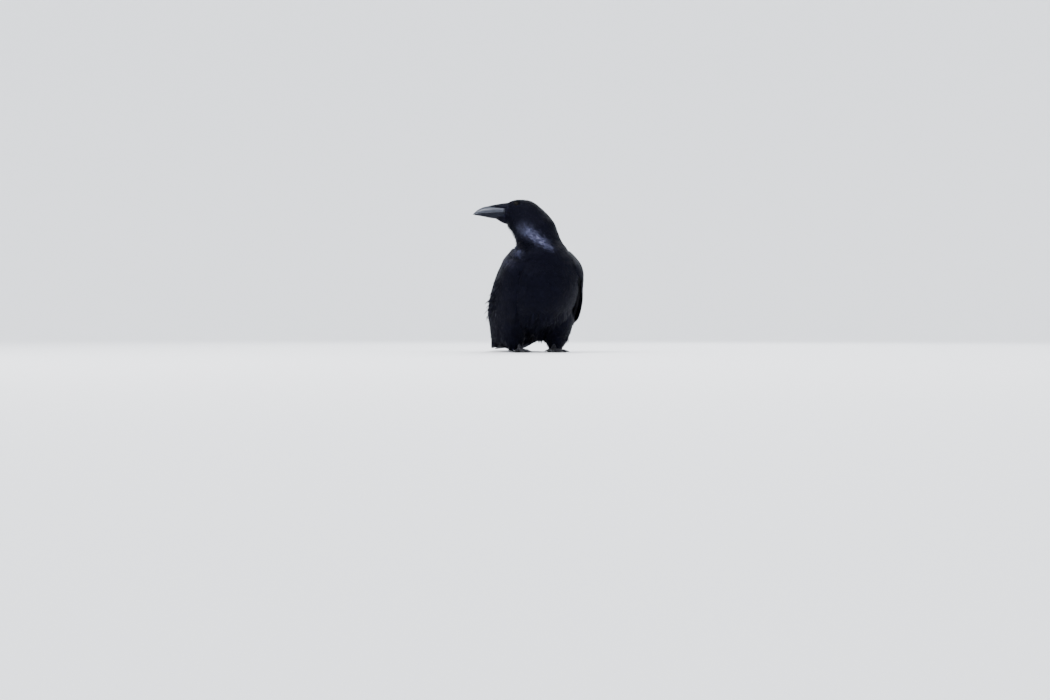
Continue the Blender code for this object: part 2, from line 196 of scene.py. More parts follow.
def put_map(mesh, name, flat, corners):
    """A map of a mesh from a place for each point; corners
    numbers the points at the corners of all faces."""
    layer = mesh.uv_layers.new(name=name)
    layer.data.foreach_set("uv", flat.reshape(-1, 2)[corners].astype(np.float32).ravel())


def colour_points(mesh, colours):
    """Writes a colour for each point to the attribute that skin and plumage read."""
    full = np.ones((len(mesh.vertices), 4), np.float32)
    full[:, :3] = colours.reshape(-1, 3)
    mesh.color_attributes.new("tint", "FLOAT_COLOR", "POINT").data.foreach_set("color", full.ravel())


def point_values(mesh, kind):
    """The coordinates ("co") or the normals of a mesh's points, a row for each."""
    flat = np.zeros(len(mesh.vertices) * 3)
    mesh.vertices.foreach_get(kind, flat)
    return flat.reshape(-1, 3)


def turns(sides):
    """Angles once round, without the last one, which is the first again."""
    return np.linspace(0, 2 * math.pi, sides, endpoint=False)


def ring_grid(stations, sides):
    """Station and turn of every point of a tube with so many sides."""
    return np.meshgrid(stations, turns(sides), indexing="ij")


def aim(made, place, target):
    made.location = place
    made.rotation_euler = (Vector(target) - Vector(place)).to_track_quat("-Z", "Y").to_euler()
    bpy.context.scene.collection.objects.link(made)


def make_floor():
    """A surface of revolution: flat out to the floor's radius, then a quarter circle, then a wall."""
    bend = np.linspace(0, math.pi / 2, 13)
    flat = np.array([0.02, 0.5, 1.0, 2.0, 3.0])
    radius = np.concatenate([flat, FLOOR_RADIUS + SWEEP_RADIUS * np.sin(bend), [FLOOR_RADIUS + SWEEP_RADIUS]])
    height = np.concatenate([0 * flat, SWEEP_RADIUS * (1 - np.cos(bend)), [WALL_HEIGHT]])
    turn = turns(FLOOR_SIDES)
    across, over = radius[:, None] * np.cos(turn), radius[:, None] * np.sin(turn)
    points = np.stack([across, over, height[:, None] + 0 * turn], -1)
    sweep = [face[::-1] for face in grid_faces(len(radius), FLOOR_SIDES, round_it=True)]
    faces = sweep + [list(range(FLOOR_SIDES))]
    made, paint, sockets = new_material("pale_floor", Roughness=0.75)
    place = paint.make("TexCoord", output=3)
    mottle = paint.make("TexNoise", (), {"Vector": place, "Scale": 1.7, "Detail": 6.0})
    feed(paint, sockets, Base_Color=(mottle * 0.25 + 0.35).mix((*FLOOR_COLOUR, 1), (0.9, 0.9, 0.91, 1)))
    put_mesh("floor", points, faces, made)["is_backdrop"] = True


make_floor()
sky = bpy.data.worlds.new("sky")
sky.use_nodes = True
sky.node_tree.nodes["Background"].inputs["Color"].default_value = (*SKY_COLOUR, 1)
sky.node_tree.nodes["Background"].inputs["Strength"].default_value = SKY_STRENGTH
bpy.context.scene.world = sky

BESIDE = np.array([math.cos(CAMERA_AZIMUTH), math.sin(CAMERA_AZIMUTH), 0.0])
AWAY = np.array([-math.sin(CAMERA_AZIMUTH), math.cos(CAMERA_AZIMUTH), 0.0])
SKYWARD = np.array([0.0, 0.0, 1.0])
for name, (right, near, up), size, watts, colour in LAMPS:
    lamp = bpy.data.lights.new(name, "AREA")
    lamp.shape = "DISK"
    lamp.size, lamp.energy, lamp.color = size, watts, colour
    place = FEET + right * BESIDE - near * AWAY + up * SKYWARD
    aim(bpy.data.objects.new(name, lamp), place, FEET + LAMP_AIM * SKYWARD)

lens = bpy.data.cameras.new("camera")
lens.lens = CAMERA_LENS
camera = bpy.data.objects.new("camera", lens)
stand = FEET - CAMERA_DISTANCE * AWAY + CAMERA_HEIGHT * SKYWARD
aim(camera, stand, FEET + AIM_OFFSET * BESIDE + AIM_HEIGHT * SKYWARD)
bpy.context.scene.camera = camera

# ---------------------------------------------------------------- skin
# Under its feathers a raven is one continuous hide over the head, neck, body,
# thighs and the muscles of the wings. It is worked out as tubes and shells
# that lie inside the solids by the depth of the coat, then fused into one.

HEAD_TURN, HEAD_ROLL = math.radians(104.0), math.radians(8.0)
HEAD_PLACE = np.array([-77.6, -42.5, 302.0])  # middle of the forehead's feather edge, from between the feet
FORWARD = np.array([-math.sin(HEAD_TURN), -math.cos(HEAD_TURN), 0.0])
LEVEL = np.cross(SKYWARD, FORWARD)
CROWNWARD = math.cos(HEAD_ROLL) * SKYWARD - math.sin(HEAD_ROLL) * LEVEL
LEFTWARD = math.cos(HEAD_ROLL) * LEVEL + math.sin(HEAD_ROLL) * SKYWARD

# The body tube. Of the head: throat and crown (each forward and above the
# forehead's feather edge), half width, how much wider it is low down. Of the
# rest: belly, back, half width, the same, and where the belly faces in degrees.
HEAD_STATIONS = (
    ((-1.4, -37.0), (-1.0, 0.0), 12.8, 0.00),
    ((-8.0, -45.0), (-13.0, 6.2), 18.2, 0.03),
    ((-15.0, -53.0), (-30.0, 9.4), 21.8, 0.04),
    ((-20.0, -61.5), (-55.0, 5.0), 25.5, 0.05),
    ((-23.0, -69.0), (-82.0, -17.0), 29.5, 0.03),
    ((-24.0, -76.0), (-101.0, -42.0), 34.0, 0.00),
)
BODY_STATIONS = (
    ((-53.5, -59.9, 217.4), (32.0, -38.1, 236.0), 44.0, 0.00, 76.0),
    ((-45.0, -89.8, 199.6), (24.5, -10.2, 223.4), 55.0, 0.00, 42.0),
    ((-15.0, -103.9, 175.2), (5.5, 15.9, 214.8), 67.5, 0.03, 10.0),
    ((0.0, -109.0, 144.0), (0.0, 37.0, 203.0), 76.0, 0.06, 0.0),
    ((0.0, -96.0, 106.0), (0.0, 58.0, 184.0), 79.0, 0.08, 0.0),
    ((0.0, -67.0, 75.0), (0.0, 81.0, 162.0), 79.0, 0.08, 0.0),
    ((0.0, -27.0, 54.0), (0.0, 103.0, 139.0), 73.0, 0.06, 0.0),
    ((0.0, 17.0, 43.0), (0.0, 124.0, 116.0), 62.0, 0.03, 0.0),
    ((0.0, 60.0, 40.0), (0.0, 143.0, 94.0), 48.0, 0.00, 0.0),
    ((0.0, 102.0, 40.0), (0.0, 160.0, 73.0), 35.0, 0.00, 0.0),
    ((0.0, 136.0, 39.0), (0.0, 173.0, 56.0), 27.0, 0.00, 0.0),
    ((0.0, 164.0, 36.5), (0.0, 184.0, 43.0), 22.0, 0.00, 0.0),
)
HEAD_FULLNESS = 0.78  # power on the sine across a ring of the head: less than 1 has fuller corners
TUBE_END = len(HEAD_STATIONS) + len(BODY_STATIONS) - 1
SHOULDERS = 7.2  # station where the trunk begins

# Left wing: lower edge, widest line and upper edge, from its bend to the tips of the secondaries.
WING_STATIONS = (
    ((59, -85, 168), (62, -84, 179), (54, -70, 193)),
    ((78, -68, 153), (81, -53, 178), (60, -42, 207)),
    ((85, -44, 126), (86, -21, 162), (59, -8, 208)),
    ((88, -20, 97), (90, 14, 134), (51, 32, 191)),
    ((88, 8, 72), (86, 56, 107), (40, 70, 160)),
    ((79, 61, 56), (72, 101, 84), (29, 114, 123)),
    ((64, 120, 46), (51, 150, 63), (20, 163, 80)),
    ((50, 160, 40), (36, 193, 48), (13, 210, 54)),
)
# Left thigh: its middle, half width and half depth, downwards.
THIGH_STATIONS = (
    ((47.0, -8.0, 98.0), 29.0, 34.0),
    ((48.0, 6.0, 75.0), 28.0, 33.0),
    ((48.0, 17.0, 56.0), 24.5, 29.0),
    ((47.0, 22.0, 41.5), 22.0, 24.5),
    ((46.5, 21.5, 29.0), 19.5, 20.0),
    ((45.0, 20.5, 17.5), 12.0, 12.5),
)
# Depth of the coat along the body tube, station and millimetres.
COAT_DEPTH = (
    (0, 1.0), (1, 1.8), (2, 2.4), (3, 3.6), (4, 5.5), (5, 8), (6, 10), (8, 12), (13, 13), (15, 8), (17, 3),
)
# Colour of the plumage, and patches of painted sheen and painted light on it, where the sky
# lights neck and shoulders: middle in mm, reach each way in mm, colour.
PLUMAGE_BLACK = (0.0012, 0.0014, 0.0036)
PAINTED_SHEEN_PATCHES = (
    ((-50, -83, 250), (12, 40, 12), (0.030, 0.032, 0.052)),
    ((-41, -93, 243), (9, 40, 8), (0.10, 0.107, 0.185)),
    ((2, -99, 211), (8, 40, 5), (0.075, 0.08, 0.14)),
    ((-10, -95, 221), (10, 40, 7), (0.15, 0.156, 0.265)),
    ((-25, -94, 232), (10, 40, 8), (0.16, 0.167, 0.28)),
    ((84, -40, 186), (14, 34, 24), (0.013, 0.012, 0.016)),
    ((-59, -69, 202), (8, 40, 6), (0.042, 0.045, 0.084)),
    ((-77, -57, 182), (7, 40, 12), (0.022, 0.022, 0.040)),
)
WING_COAT = 4.0
THIGH_COAT = 7.0
SKIN_VOXEL = 1.9 * MM


def unit(v):
    return v / np.linalg.norm(v, axis=-1, keepdims=True)


def look_up(table, at):
    """Reads a table of places and values at any place."""
    return np.interp(at, *np.array(table, float).T)


def column(table, index):
    """One column of a table of stations as an array with a row for each station."""
    return np.array([row[index] for row in table], float).reshape(len(table), -1)


def along(values, at):
    """Catmull-Rom curve through a row of stations, read at fractional station numbers of any shape."""
    last = len(values) - 1
    i = np.clip(np.floor(at).astype(int), 0, last - 1)
    t = np.clip(at - i, 0, 1)[..., None]
    ends = np.concatenate([[2 * values[0] - values[1]], values, [2 * values[-1] - values[-2]]])
    a, b, c, d = (ends[i + k] for k in range(4))
    return 0.5 * (2 * b + (c - a) * t + (2 * a - 5 * b + 4 * c - d) * t**2 + (3 * b - a - 3 * c + d) * t**3)


def from_head(points):
    """Places points given in mm forward, up and left of the forehead's feather edge."""
    return FEET + MM * (HEAD_PLACE + np.asarray(points, float) @ np.array([FORWARD, CROWNWARD, LEFTWARD]))


def head_rail(index):
    flat = column(HEAD_STATIONS, index)
    return from_head(np.hstack([flat, np.zeros((len(flat), 1))]))


facing = np.radians(column(BODY_STATIONS, 4))
BELLY_RAIL = np.concatenate([head_rail(0), FEET + MM * column(BODY_STATIONS, 0)])
BACK_RAIL = np.concatenate([head_rail(1), FEET + MM * column(BODY_STATIONS, 1)])
trunk_side = np.hstack([np.cos(facing), -np.sin(facing), 0 * facing])
SIDEWARD = np.concatenate([np.tile(LEFTWARD, (len(HEAD_STATIONS), 1)), trunk_side])
HALF_WIDTH = MM * np.concatenate([column(HEAD_STATIONS, 2), column(BODY_STATIONS, 2)])
LOW_SHARE = np.concatenate([column(HEAD_STATIONS, 3), column(BODY_STATIONS, 3)])


def body_tube(s, t, sink=0.0):
    """The body at station s, an angle t round from the back towards the bird's left: an ellipse between the
    belly rail and the back rail, fuller at the head. sink shrinks each ring by that much."""
    belly, back = along(BELLY_RAIL, s), along(BACK_RAIL, s)
    middle, rise = (belly + back) / 2, (back - belly) / 2
    up, side = unit(rise), along(SIDEWARD, s)
    side = unit(side - up * (side * up).sum(-1, keepdims=True))
    half, low = along(HALF_WIDTH, s), along(LOW_SHARE, s)
    height = np.linalg.norm(rise, axis=-1, keepdims=True)
    power = np.interp(s, (4, 7), (HEAD_FULLNESS, 1.0))[..., None]
    sine, cosine = np.sin(t)[..., None], np.cos(t)[..., None]
    inset = np.asarray(sink)[..., None] if np.ndim(sink) else sink
    out = np.sign(sine) * np.abs(sine) ** power * (half - np.minimum(inset, 0.5 * half)) * (1 - low * cosine)
    return middle + up * (height - np.minimum(inset, 0.5 * height)) * cosine + side * out


def wing_surface(stations, side=1):
    """The outer face of a folded wing over three rails of stations: a parabola over the lower edge (v 0),
    the widest line and the upper edge (v 1). side -1 is the right wing."""
    rails = [column(stations, k) for k in range(3)]

    def place(a, v):
        low, wide, top = (MM * along(rail, a) for rail in rails)
        v = v[..., None]
        return FEET + (low * (1 - v) ** 2 + (4 * wide - low - top) * v * (1 - v) + top * v**2) * (side, 1, 1)

    return place


def thigh_tube(s, t, side=1, sink=0.0):
    """The feathered thigh at station s downwards, an angle t round from the outside."""
    middle = along(column(THIGH_STATIONS, 0), s)
    wide, deep = (MM * along(column(THIGH_STATIONS, k), s) - sink for k in (1, 2))
    ahead = unit(along(column(THIGH_STATIONS, 0), s + 0.02) - along(column(THIGH_STATIONS, 0), s - 0.02))
    aside = unit(np.array([1.0, 0, 0]) - ahead * ahead[..., :1])
    ring = aside * wide * np.cos(t)[..., None] + np.cross(ahead, aside) * deep * np.sin(t)[..., None]
    return FEET + (MM * middle + ring) * (side, 1, 1)


def capped_tube(points):
    """Points and faces of a tube of rings, closed by a flat face at each end."""
    rings, sides = points.shape[:2]
    ends = [list(range(sides - 1, -1, -1)), list(range((rings - 1) * sides, rings * sides))]
    return points.reshape(-1, 3), grid_faces(rings, sides, round_it=True) + ends


def joined(parts):
    """One list of points and one of faces from several."""
    starts = np.cumsum([0] + [len(points) for points, _ in parts])
    faces = [[i + start for i in face] for (_, part), start in zip(parts, starts) for face in part]
    return np.concatenate([points for points, _ in parts]), faces


def wing_core(side):
    """The wing's muscle as a flattened tube: its outer face
    below the coverts, its inner face towards the body."""
    a, v = np.meshgrid(np.linspace(0.15, 6.4, 26), np.linspace(0.06, 0.94, 12), indexing="ij")
    outer = wing_surface(WING_STATIONS, side)(a, v)
    inward = unit(np.cross(np.gradient(outer, axis=0), np.gradient(outer, axis=1))) * -side
    room = np.interp(a, (0, 1, 4, 6.4), (7, 15, 12, 1.5))[..., None] * MM * (1 - (2 * v - 1) ** 6)[..., None]
    under = outer + inward * (WING_COAT * MM + room + 0.8 * MM)
    return capped_tube(np.concatenate([outer + inward * WING_COAT * MM, under[:, ::-1]], axis=1))


def fused(name, points, faces, voxel, smooth, material):
    """One closed skin round overlapping closed shapes: a voxel remesh, then smoothing."""
    rough = put_mesh("rough_" + name, points, faces, material)
    remesh = rough.modifiers.new("remesh", "REMESH")
    remesh.mode, remesh.voxel_size = "VOXEL", voxel
    relax = rough.modifiers.new("relax", "SMOOTH")
    relax.factor, relax.iterations = 0.5, smooth
    mesh = bpy.data.meshes.new_from_object(rough.evaluated_get(bpy.context.evaluated_depsgraph_get()))
    bpy.data.objects.remove(rough)
    mesh.name = name
    mesh.shade_smooth()
    return placed(name, mesh)


def plumage_and_painted_sheen(points):
    """The plumage's colour at each point, for skin and coat
    alike: blue-black, with soft patches of painted sheen and painted light."""
    colour = np.array(PLUMAGE_BLACK) + np.zeros(points.shape)
    for place, reach, tone in PAINTED_SHEEN_PATCHES:
        share = np.exp(-(((points - FEET) / MM - place) ** 2 / np.array(reach) ** 2).sum(-1, keepdims=True))
        colour = colour + (np.array(tone) - colour) * share
    return colour


def make_skin():
    s, t = ring_grid(np.linspace(0, TUBE_END, 90), 64)
    depth = MM * look_up(COAT_DEPTH, s)
    parts = [capped_tube(body_tube(s, t, depth))]
    for side in (1, -1):
        down, turn = ring_grid(np.linspace(0, 4.9, 24), 28)
        parts.append(capped_tube(thigh_tube(down, turn, side, THIGH_COAT * MM)))
        parts.append(wing_core(side))
    made, paint, sockets = new_material("hide", Roughness=0.7, Specular_IOR_Level=0.15)
    place = paint.make("TexCoord", output=3)
    pores = paint.make("TexNoise", (), {"Vector": place, "Scale": 900.0, "Detail": 3.0})
    tint = paint.make("Attribute", {"attribute_name": "tint"})
    feed(paint, sockets, Base_Color=(pores * 0.6).mix(tint, (0.001, 0.001, 0.002, 1)))
    feed(paint, sockets, Normal=pores.bump(0.4, 0.2 * MM))
    skin = fused("skin", *joined(parts), SKIN_VOXEL, 6, made)
    # The skin carries the same painted sheen and painted light as the coat.
    colour_points(skin.data, plumage_and_painted_sheen(point_values(skin.data, "co")))
    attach(skin, "root")
    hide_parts("head", "neck", "trunk", "chin", "thigh_left", "thigh_right", "wing_left", "wing_right")


make_skin()

# ---------------------------------------------------------------- plumage of the head, neck and body
# Contour feathers lie in staggered rows, each rooted in the hide and covering
# the roots of the next ones. Each is a fan of thin pointed locks of barbs; it is
# blue-black keratin, glossy on top, with lilac sheen and light painted into its
# colour on neck and shoulders.

# For each tract a table: station, then in mm length, width,
# how pointed (0 round, 1 a lance) and lift of the tip.
HEAD_VANES = (
    (0.0, 3.2, 1.35, 0.8, 0.00),
    (1.0, 4.7, 1.75, 0.8, 0.04),
    (2.0, 7.0, 2.3, 0.8, 0.08),
    (2.8, 10.5, 2.9, 0.9, 0.15),
)
NECK_VANES = (
    (2.6, 12.5, 4.2, 0.7, 0.2),
    (4.0, 20.0, 6.5, 0.7, 0.4),
    (5.0, 27.0, 8.5, 0.7, 0.6),
    (6.0, 31.0, 10.0, 0.6, 0.6),
    (7.4, 34.0, 13.0, 0.4, 0.5),
)
BODY_VANES = (
    (7.0, 33.0, 13.0, 0.4, 0.5),
    (9.0, 36.0, 15.0, 0.3, 0.4),
    (12.0, 40.0, 16.0, 0.3, 0.6),
    (15.0, 47.0, 17.0, 0.2, 0.4),
    (17.0, 52.0, 18.0, 0.1, 0.2),
)
RING_PLACES = np.array([0.0, 0.18, 0.42, 0.66, 0.86, 1.0])
ROUND_OUTLINE = np.array([0.20, 0.62, 0.95, 1.0, 0.86, 0.34])
LANCE_OUTLINE = np.array([0.20, 0.70, 0.98, 0.80, 0.42, 0.04])
LOCK_TAPER = np.array([1.0, 1.0, 1.0, 0.82, 0.46, 0.04])
NARROW = np.array([-1.0, 0.0, 1.0, 0.0])  # three points over a lock and one under it
BROAD = np.array([-1.0, -0.5, 0.0, 0.5, 1.0, 0.0])
VANE_THICKNESS = 0.16 * MM
EDGE_WEAR = 4.0  # how much paler a broad vane's edges are
BAKE_PATCH = 0.003  # side of a feather's patch on the unwrap
COVER_REACH = 9 * MM  # feathers with a wing or a thigh closer than this above them are left out
BARB_PITCH, BARB_ANGLE = 0.8, math.radians(38.0)  # in mm; from the shaft
BODY_UNWRAP = (0.01, 0.01, 0.60, 0.98)  # low corner, width and height of the body tube's part of the unwrap
EYE_PLACES = [from_head((-24.0, -2.8, 11.3 * side)) for side in (1, -1)]
# The mouth's corner: its turn round the head from the crown, how much that grows in a station, the station
# where the corner ends, and how far back the bill's base is bare before it.
GAPE_TURN, GAPE_SLOPE, GAPE_END, BARE_NOTCH = 1.60, 0.10, 1.2, 0.1
EYE_CLEAR, EYE_OPEN = 7.3 * MM, 6.2 * MM  # no feather is rooted or ends nearer to the eye's middle than this


def plumage_material(name, barbs, roughness, gloss):
    """Black keratin with a violet-blue gloss. Barbs slant
    from the shaft in the vane's own map, in millimetres."""
    made, paint, sockets = new_material(
        name,
        Roughness=roughness,
        Specular_IOR_Level=gloss,
        Specular_Tint=(0.56, 0.57, 1.0, 1),
        Sheen_Weight=0.014,
        Sheen_Roughness=0.35,
        Sheen_Tint=(0.5, 0.55, 1.0, 1),
    )
    where = paint.make("UVMap", {"uv_map": "vane"})
    beside = paint.make("SeparateXYZ", (), {0: where})
    length = Paint(paint.tree, beside.socket.node.outputs[1])
    off_shaft = beside.math("ABSOLUTE", beside)
    waver = paint.make("TexNoise", (), {"Vector": where, "Scale": 0.35, "Detail": 2.0})
    phase = off_shaft * math.cos(BARB_ANGLE) - length * math.sin(BARB_ANGLE) + waver * 2.2
    ridges = phase.math("SINE", phase * (2 * math.pi / BARB_PITCH)) * 0.5 + 0.5
    clump = paint.make("TexNoise", (), {"Vector": where, "Scale": 0.9, "Detail": 3.0})
    shaft = off_shaft.math("SMOOTH_MIN", off_shaft, 0.5, 0.3)
    tint = paint.make("Attribute", {"attribute_name": "tint"})
    dark = (ridges * 0.35 + clump * 0.5).mix(tint, (0, 0, 0, 1))
    feed(paint, sockets, Base_Color=dark, Roughness=clump * 0.25 + (roughness - 0.12))
    feed(paint, sockets, Normal=(ridges * barbs + clump * 0.6 - shaft * 0.5).bump(0.55, 0.12 * MM))
    return made


class Form:
    """A surface that feathers lie on: a function of station and turn, its last station,
    and the sign that makes the cross product of its two directions point outward."""

    def __init__(self, place, end, outward):
        self.place = place
        self.end = end
        self.outward = outward

    def lie(self, s, t):
        """Place, direction towards the tail, outward normal
        and millimetres a station, at station s and turn t."""
        low, high = np.maximum(s - 0.03, 0), np.minimum(s + 0.03, self.end)
        ahead = self.place(high, t) - self.place(low, t)
        across = self.place(s, t + 0.01) - self.place(s, t - 0.01)
        speed = np.linalg.norm(ahead, axis=-1) / (high - low)
        return self.place(s, t), unit(ahead), unit(np.cross(ahead, across)) * self.outward, speed


def rooted_rows(form, span, turn, row_gap, side_gap, rng):
    """Roots in staggered rows over a form between two stations: stations and turns. The gaps are functions
    of the station; rows are evenly spread along the surface, and roots evenly across it."""
    s, t = np.linspace(*span, 300), np.linspace(*turn, 161)
    grid = form.place(s[:, None] + 0 * t, t + 0 * s[:, None])
    pace = np.linalg.norm(np.diff(grid, axis=0), axis=-1).mean(1)
    passed = np.concatenate([[0], np.cumsum(pace / row_gap((s[1:] + s[:-1]) / 2))])
    stations, turns = [], []
    for k, station in enumerate(np.interp(np.arange(0.3, passed[-1]), passed, s)):
        ring = form.place(station + 0 * t, t)
        round_it = np.concatenate([[0], np.cumsum(np.linalg.norm(np.diff(ring, axis=0), axis=-1))])
        count = max(3, int(round(round_it[-1] / side_gap(station))))
        place = (np.arange(count) + 0.5 * (k % 2) + rng.normal(0, 0.16, count)) / count * round_it[-1]
        turns.append(np.interp(place % round_it[-1], round_it, t))
        station_gap = row_gap(station) / (pace.mean() / (s[1] - s[0]))
        stations.append(station + rng.normal(0, 0.2, count) * station_gap)
    return np.clip(np.concatenate(stations), *span), np.concatenate(turns)


def solid_tree(*nodes):
    trees = []
    for node in nodes:
        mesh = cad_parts[node].data
        corners = [vertex.co[:] for vertex in mesh.vertices]
        trees.append(BVHTree.FromPolygons(corners, [face.vertices[:] for face in mesh.polygons]))
    return trees


def covered(points, outward, trees, reach):
    """Whether a straight line outward from each point meets one of the solids within reach."""
    lines = [(Vector(point), Vector(way)) for point, way in zip(points, outward)]
    return np.array([any(tree.ray_cast(*line, reach)[0] for tree in trees) for line in lines], bool)


def laid_paths(form, s, t, length, yaw, places):
    """Middle lines of vanes over a form, (vane, ring, xyz), with normals: they
    start at their roots, run towards the tail and bend sideways by yaw."""
    root, _, _, speed = form.lie(s, t)
    at = np.clip(s[:, None] + length[:, None] * places / speed[:, None], 0, form.end)
    _, ahead, normal, _ = form.lie(at, t[:, None] + 0 * at)
    ahead = unit(ahead + np.cross(normal, ahead) * np.tan(yaw)[:, None, None])
    steps = (ahead[:, 1:] + ahead[:, :-1]) / 2 * (np.diff(places) * length[:, None])[..., None]
    return root[:, None] + np.concatenate([0 * root[:, None], np.cumsum(steps, axis=1)], axis=1), normal


def vane_points(path, normal, half, across, camber, roll, rng, shaft=0.0, fraying=1.0):
    """Points round each ring: over the vane height is camber times half width times (1 - x squared), with a
    raised shaft, and one point lies under the shaft. Tips are frayed by moving the last rings' points along.
    shaft moves the shaft sideways by that share of the half width."""
    ahead = unit(np.gradient(path, axis=1))
    aside = unit(np.cross(normal, ahead))
    raised = unit(np.cross(ahead, aside))
    turn = roll[:, None, None]
    aside, raised = aside * np.cos(turn) + raised * np.sin(turn), raised * np.cos(turn) - aside * np.sin(turn)
    height = camber * half[..., None] * (1 - across**2)
    height[..., len(across) // 2 - 1] += 0.06 * MM
    height[..., -1] -= VANE_THICKNESS
    late = np.clip(np.linspace(-1.0, 1.0, half.shape[1]), 0, 1)[:, None]
    fray = rng.uniform(-1, 0.4, (*half.shape, len(across))) * 1.6 * MM * fraying * late
    wide = half[..., None] * (across + shaft * (across == 0))
    points = path[:, :, None] + aside[:, :, None] * wide[..., None]
    return points + raised[:, :, None] * height[..., None] + ahead[:, :, None] * fray[..., None]


def put_vanes(name, points, across, half, length, root_map, tint, material, places):
    """All vanes of a tract as one mesh of closed blades, (vane,
    ring, point, xyz), with its two maps and its tint."""
    count, rings, sides = points.shape[:3]
    points[..., 2] = np.maximum(points[..., 2], 0.3 * MM)
    corner = np.arange(count * rings * sides).reshape(count, rings, sides)
    on = np.roll(corner, -1, axis=2)
    quads = np.stack([corner[:, :-1], corner[:, 1:], on[:, 1:], on[:, :-1]], -1).reshape(count, -1)
    ends = np.concatenate([corner[:, 0], corner[:, -1, ::-1]], axis=1)
    loops = np.concatenate([quads.ravel(), ends.ravel()]).astype(np.int32)
    sizes = np.concatenate([np.full(quads.size // 4, 4), np.full(2 * count, sides)])
    mesh = bpy.data.meshes.new(name)
    mesh.vertices.add(corner.size)
    mesh.vertices.foreach_set("co", points.astype(np.float32).ravel())
    mesh.loops.add(len(loops))
    mesh.loops.foreach_set("vertex_index", loops)
    mesh.polygons.add(len(sizes))
    mesh.polygons.foreach_set("loop_start", (np.cumsum(sizes) - sizes).astype(np.int32))
    mesh.update(calc_edges=True)
    mesh.validate()
    flat = np.zeros((count, rings, sides, 2))
    flat[..., 0], flat[..., 1] = across * 0.5, places[:, None]
    vane = np.stack([across * half[..., None] / MM, flat[..., 1] * length[:, None, None] / MM], -1)
    for map_name, values in (("OFBake", root_map[:, None, None] + BAKE_PATCH * flat), ("vane", vane)):
        put_map(mesh, map_name, values, loops)
    worn = 1 + EDGE_WEAR * (np.abs(across) > 0.9) * (sides > 4)
    colour_points(mesh, np.repeat(tint[:, None, None] * worn[:, None], rings, axis=1))
    mesh.materials.append(material)
    mesh.shade_smooth()
    mesh.set_sharp_from_angle(angle=math.radians(70))
    made = placed(name, mesh)
    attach(made, "root")
    return made


def tinted(places, rng):
    """A colour for each vane: the plumage's own where it shows, a little
    lighter or darker, with its painted sheen and painted light made streaky."""
    # The painted sheen and painted light of neck and shoulders, on top of the black.
    painted_sheen = plumage_and_painted_sheen(places) - PLUMAGE_BLACK
    streak = rng.uniform(0.45, 1.35, (len(places), 1))
    return (PLUMAGE_BLACK + painted_sheen * streak) * np.exp(rng.normal(0, 0.2, (len(places), 1)))


def unwrapped(share, corner):
    """Places in one rectangle of the unwrap from shares of its width and height."""
    return np.array(corner[:2]) + share * np.array(corner[2:])


def dress(
    name, form, s, t, size, sink, place, material, rng, fan=1, across=NARROW, camber=0.24, roll=0.0, yaw=0.07
):
    """Feathers rooted at (s, t), each a fan of locks that fills its outline. size has length, width, how
    pointed and lift; sink is the depth of the roots; roll tilts every vane the same way."""
    count = len(s)
    share = np.tile((np.arange(fan) - (fan - 1) / 2) / (fan / 2), count)
    bend = rng.normal(0, yaw, count)
    shown = np.minimum(s + 0.8 * size[0] / form.lie(s, t)[3], form.end)
    tint = tinted(form.place(shown, t), rng)
    s, t, length, width, lance, lift, sink, bend = (np.repeat(v, fan) for v in (s, t, *size, sink, bend))
    uneven = rng.uniform(-0.16, 0.05, len(s)) if fan > 1 else 0.0
    length = length * (1 - 0.16 * share**2) * (1 + uneven)
    path, normal = laid_paths(form, s, t, length, bend, RING_PLACES)
    lance = lance[:, None]
    outline = width[:, None] / 2 * (ROUND_OUTLINE * (1 - lance) + LANCE_OUTLINE * lance)
    rise = -sink[:, None] * (1 - RING_PLACES) ** 1.3 + lift[:, None] * RING_PLACES**2
    rise = rise + 0.14 * outline * (1 - share[:, None] ** 2) * (fan > 1)
    beside = unit(np.cross(normal, unit(np.gradient(path, axis=1))))
    spread = share[:, None] * outline * (1 + 0.2 * RING_PLACES)
    path = path + beside * spread[..., None] + normal * rise[..., None]
    half = outline if fan == 1 else width[:, None] / 2 * LOCK_TAPER * (1.3 / fan)
    tilt = rng.normal(0, 0.09, len(s)) - 0.22 * share + roll
    points = vane_points(path, normal, half, across, camber, tilt, rng)
    place, tint = np.repeat(place, fan, axis=0), np.repeat(tint, fan, axis=0)
    return put_vanes(name, points, across, half, length, place, tint, material, RING_PLACES)


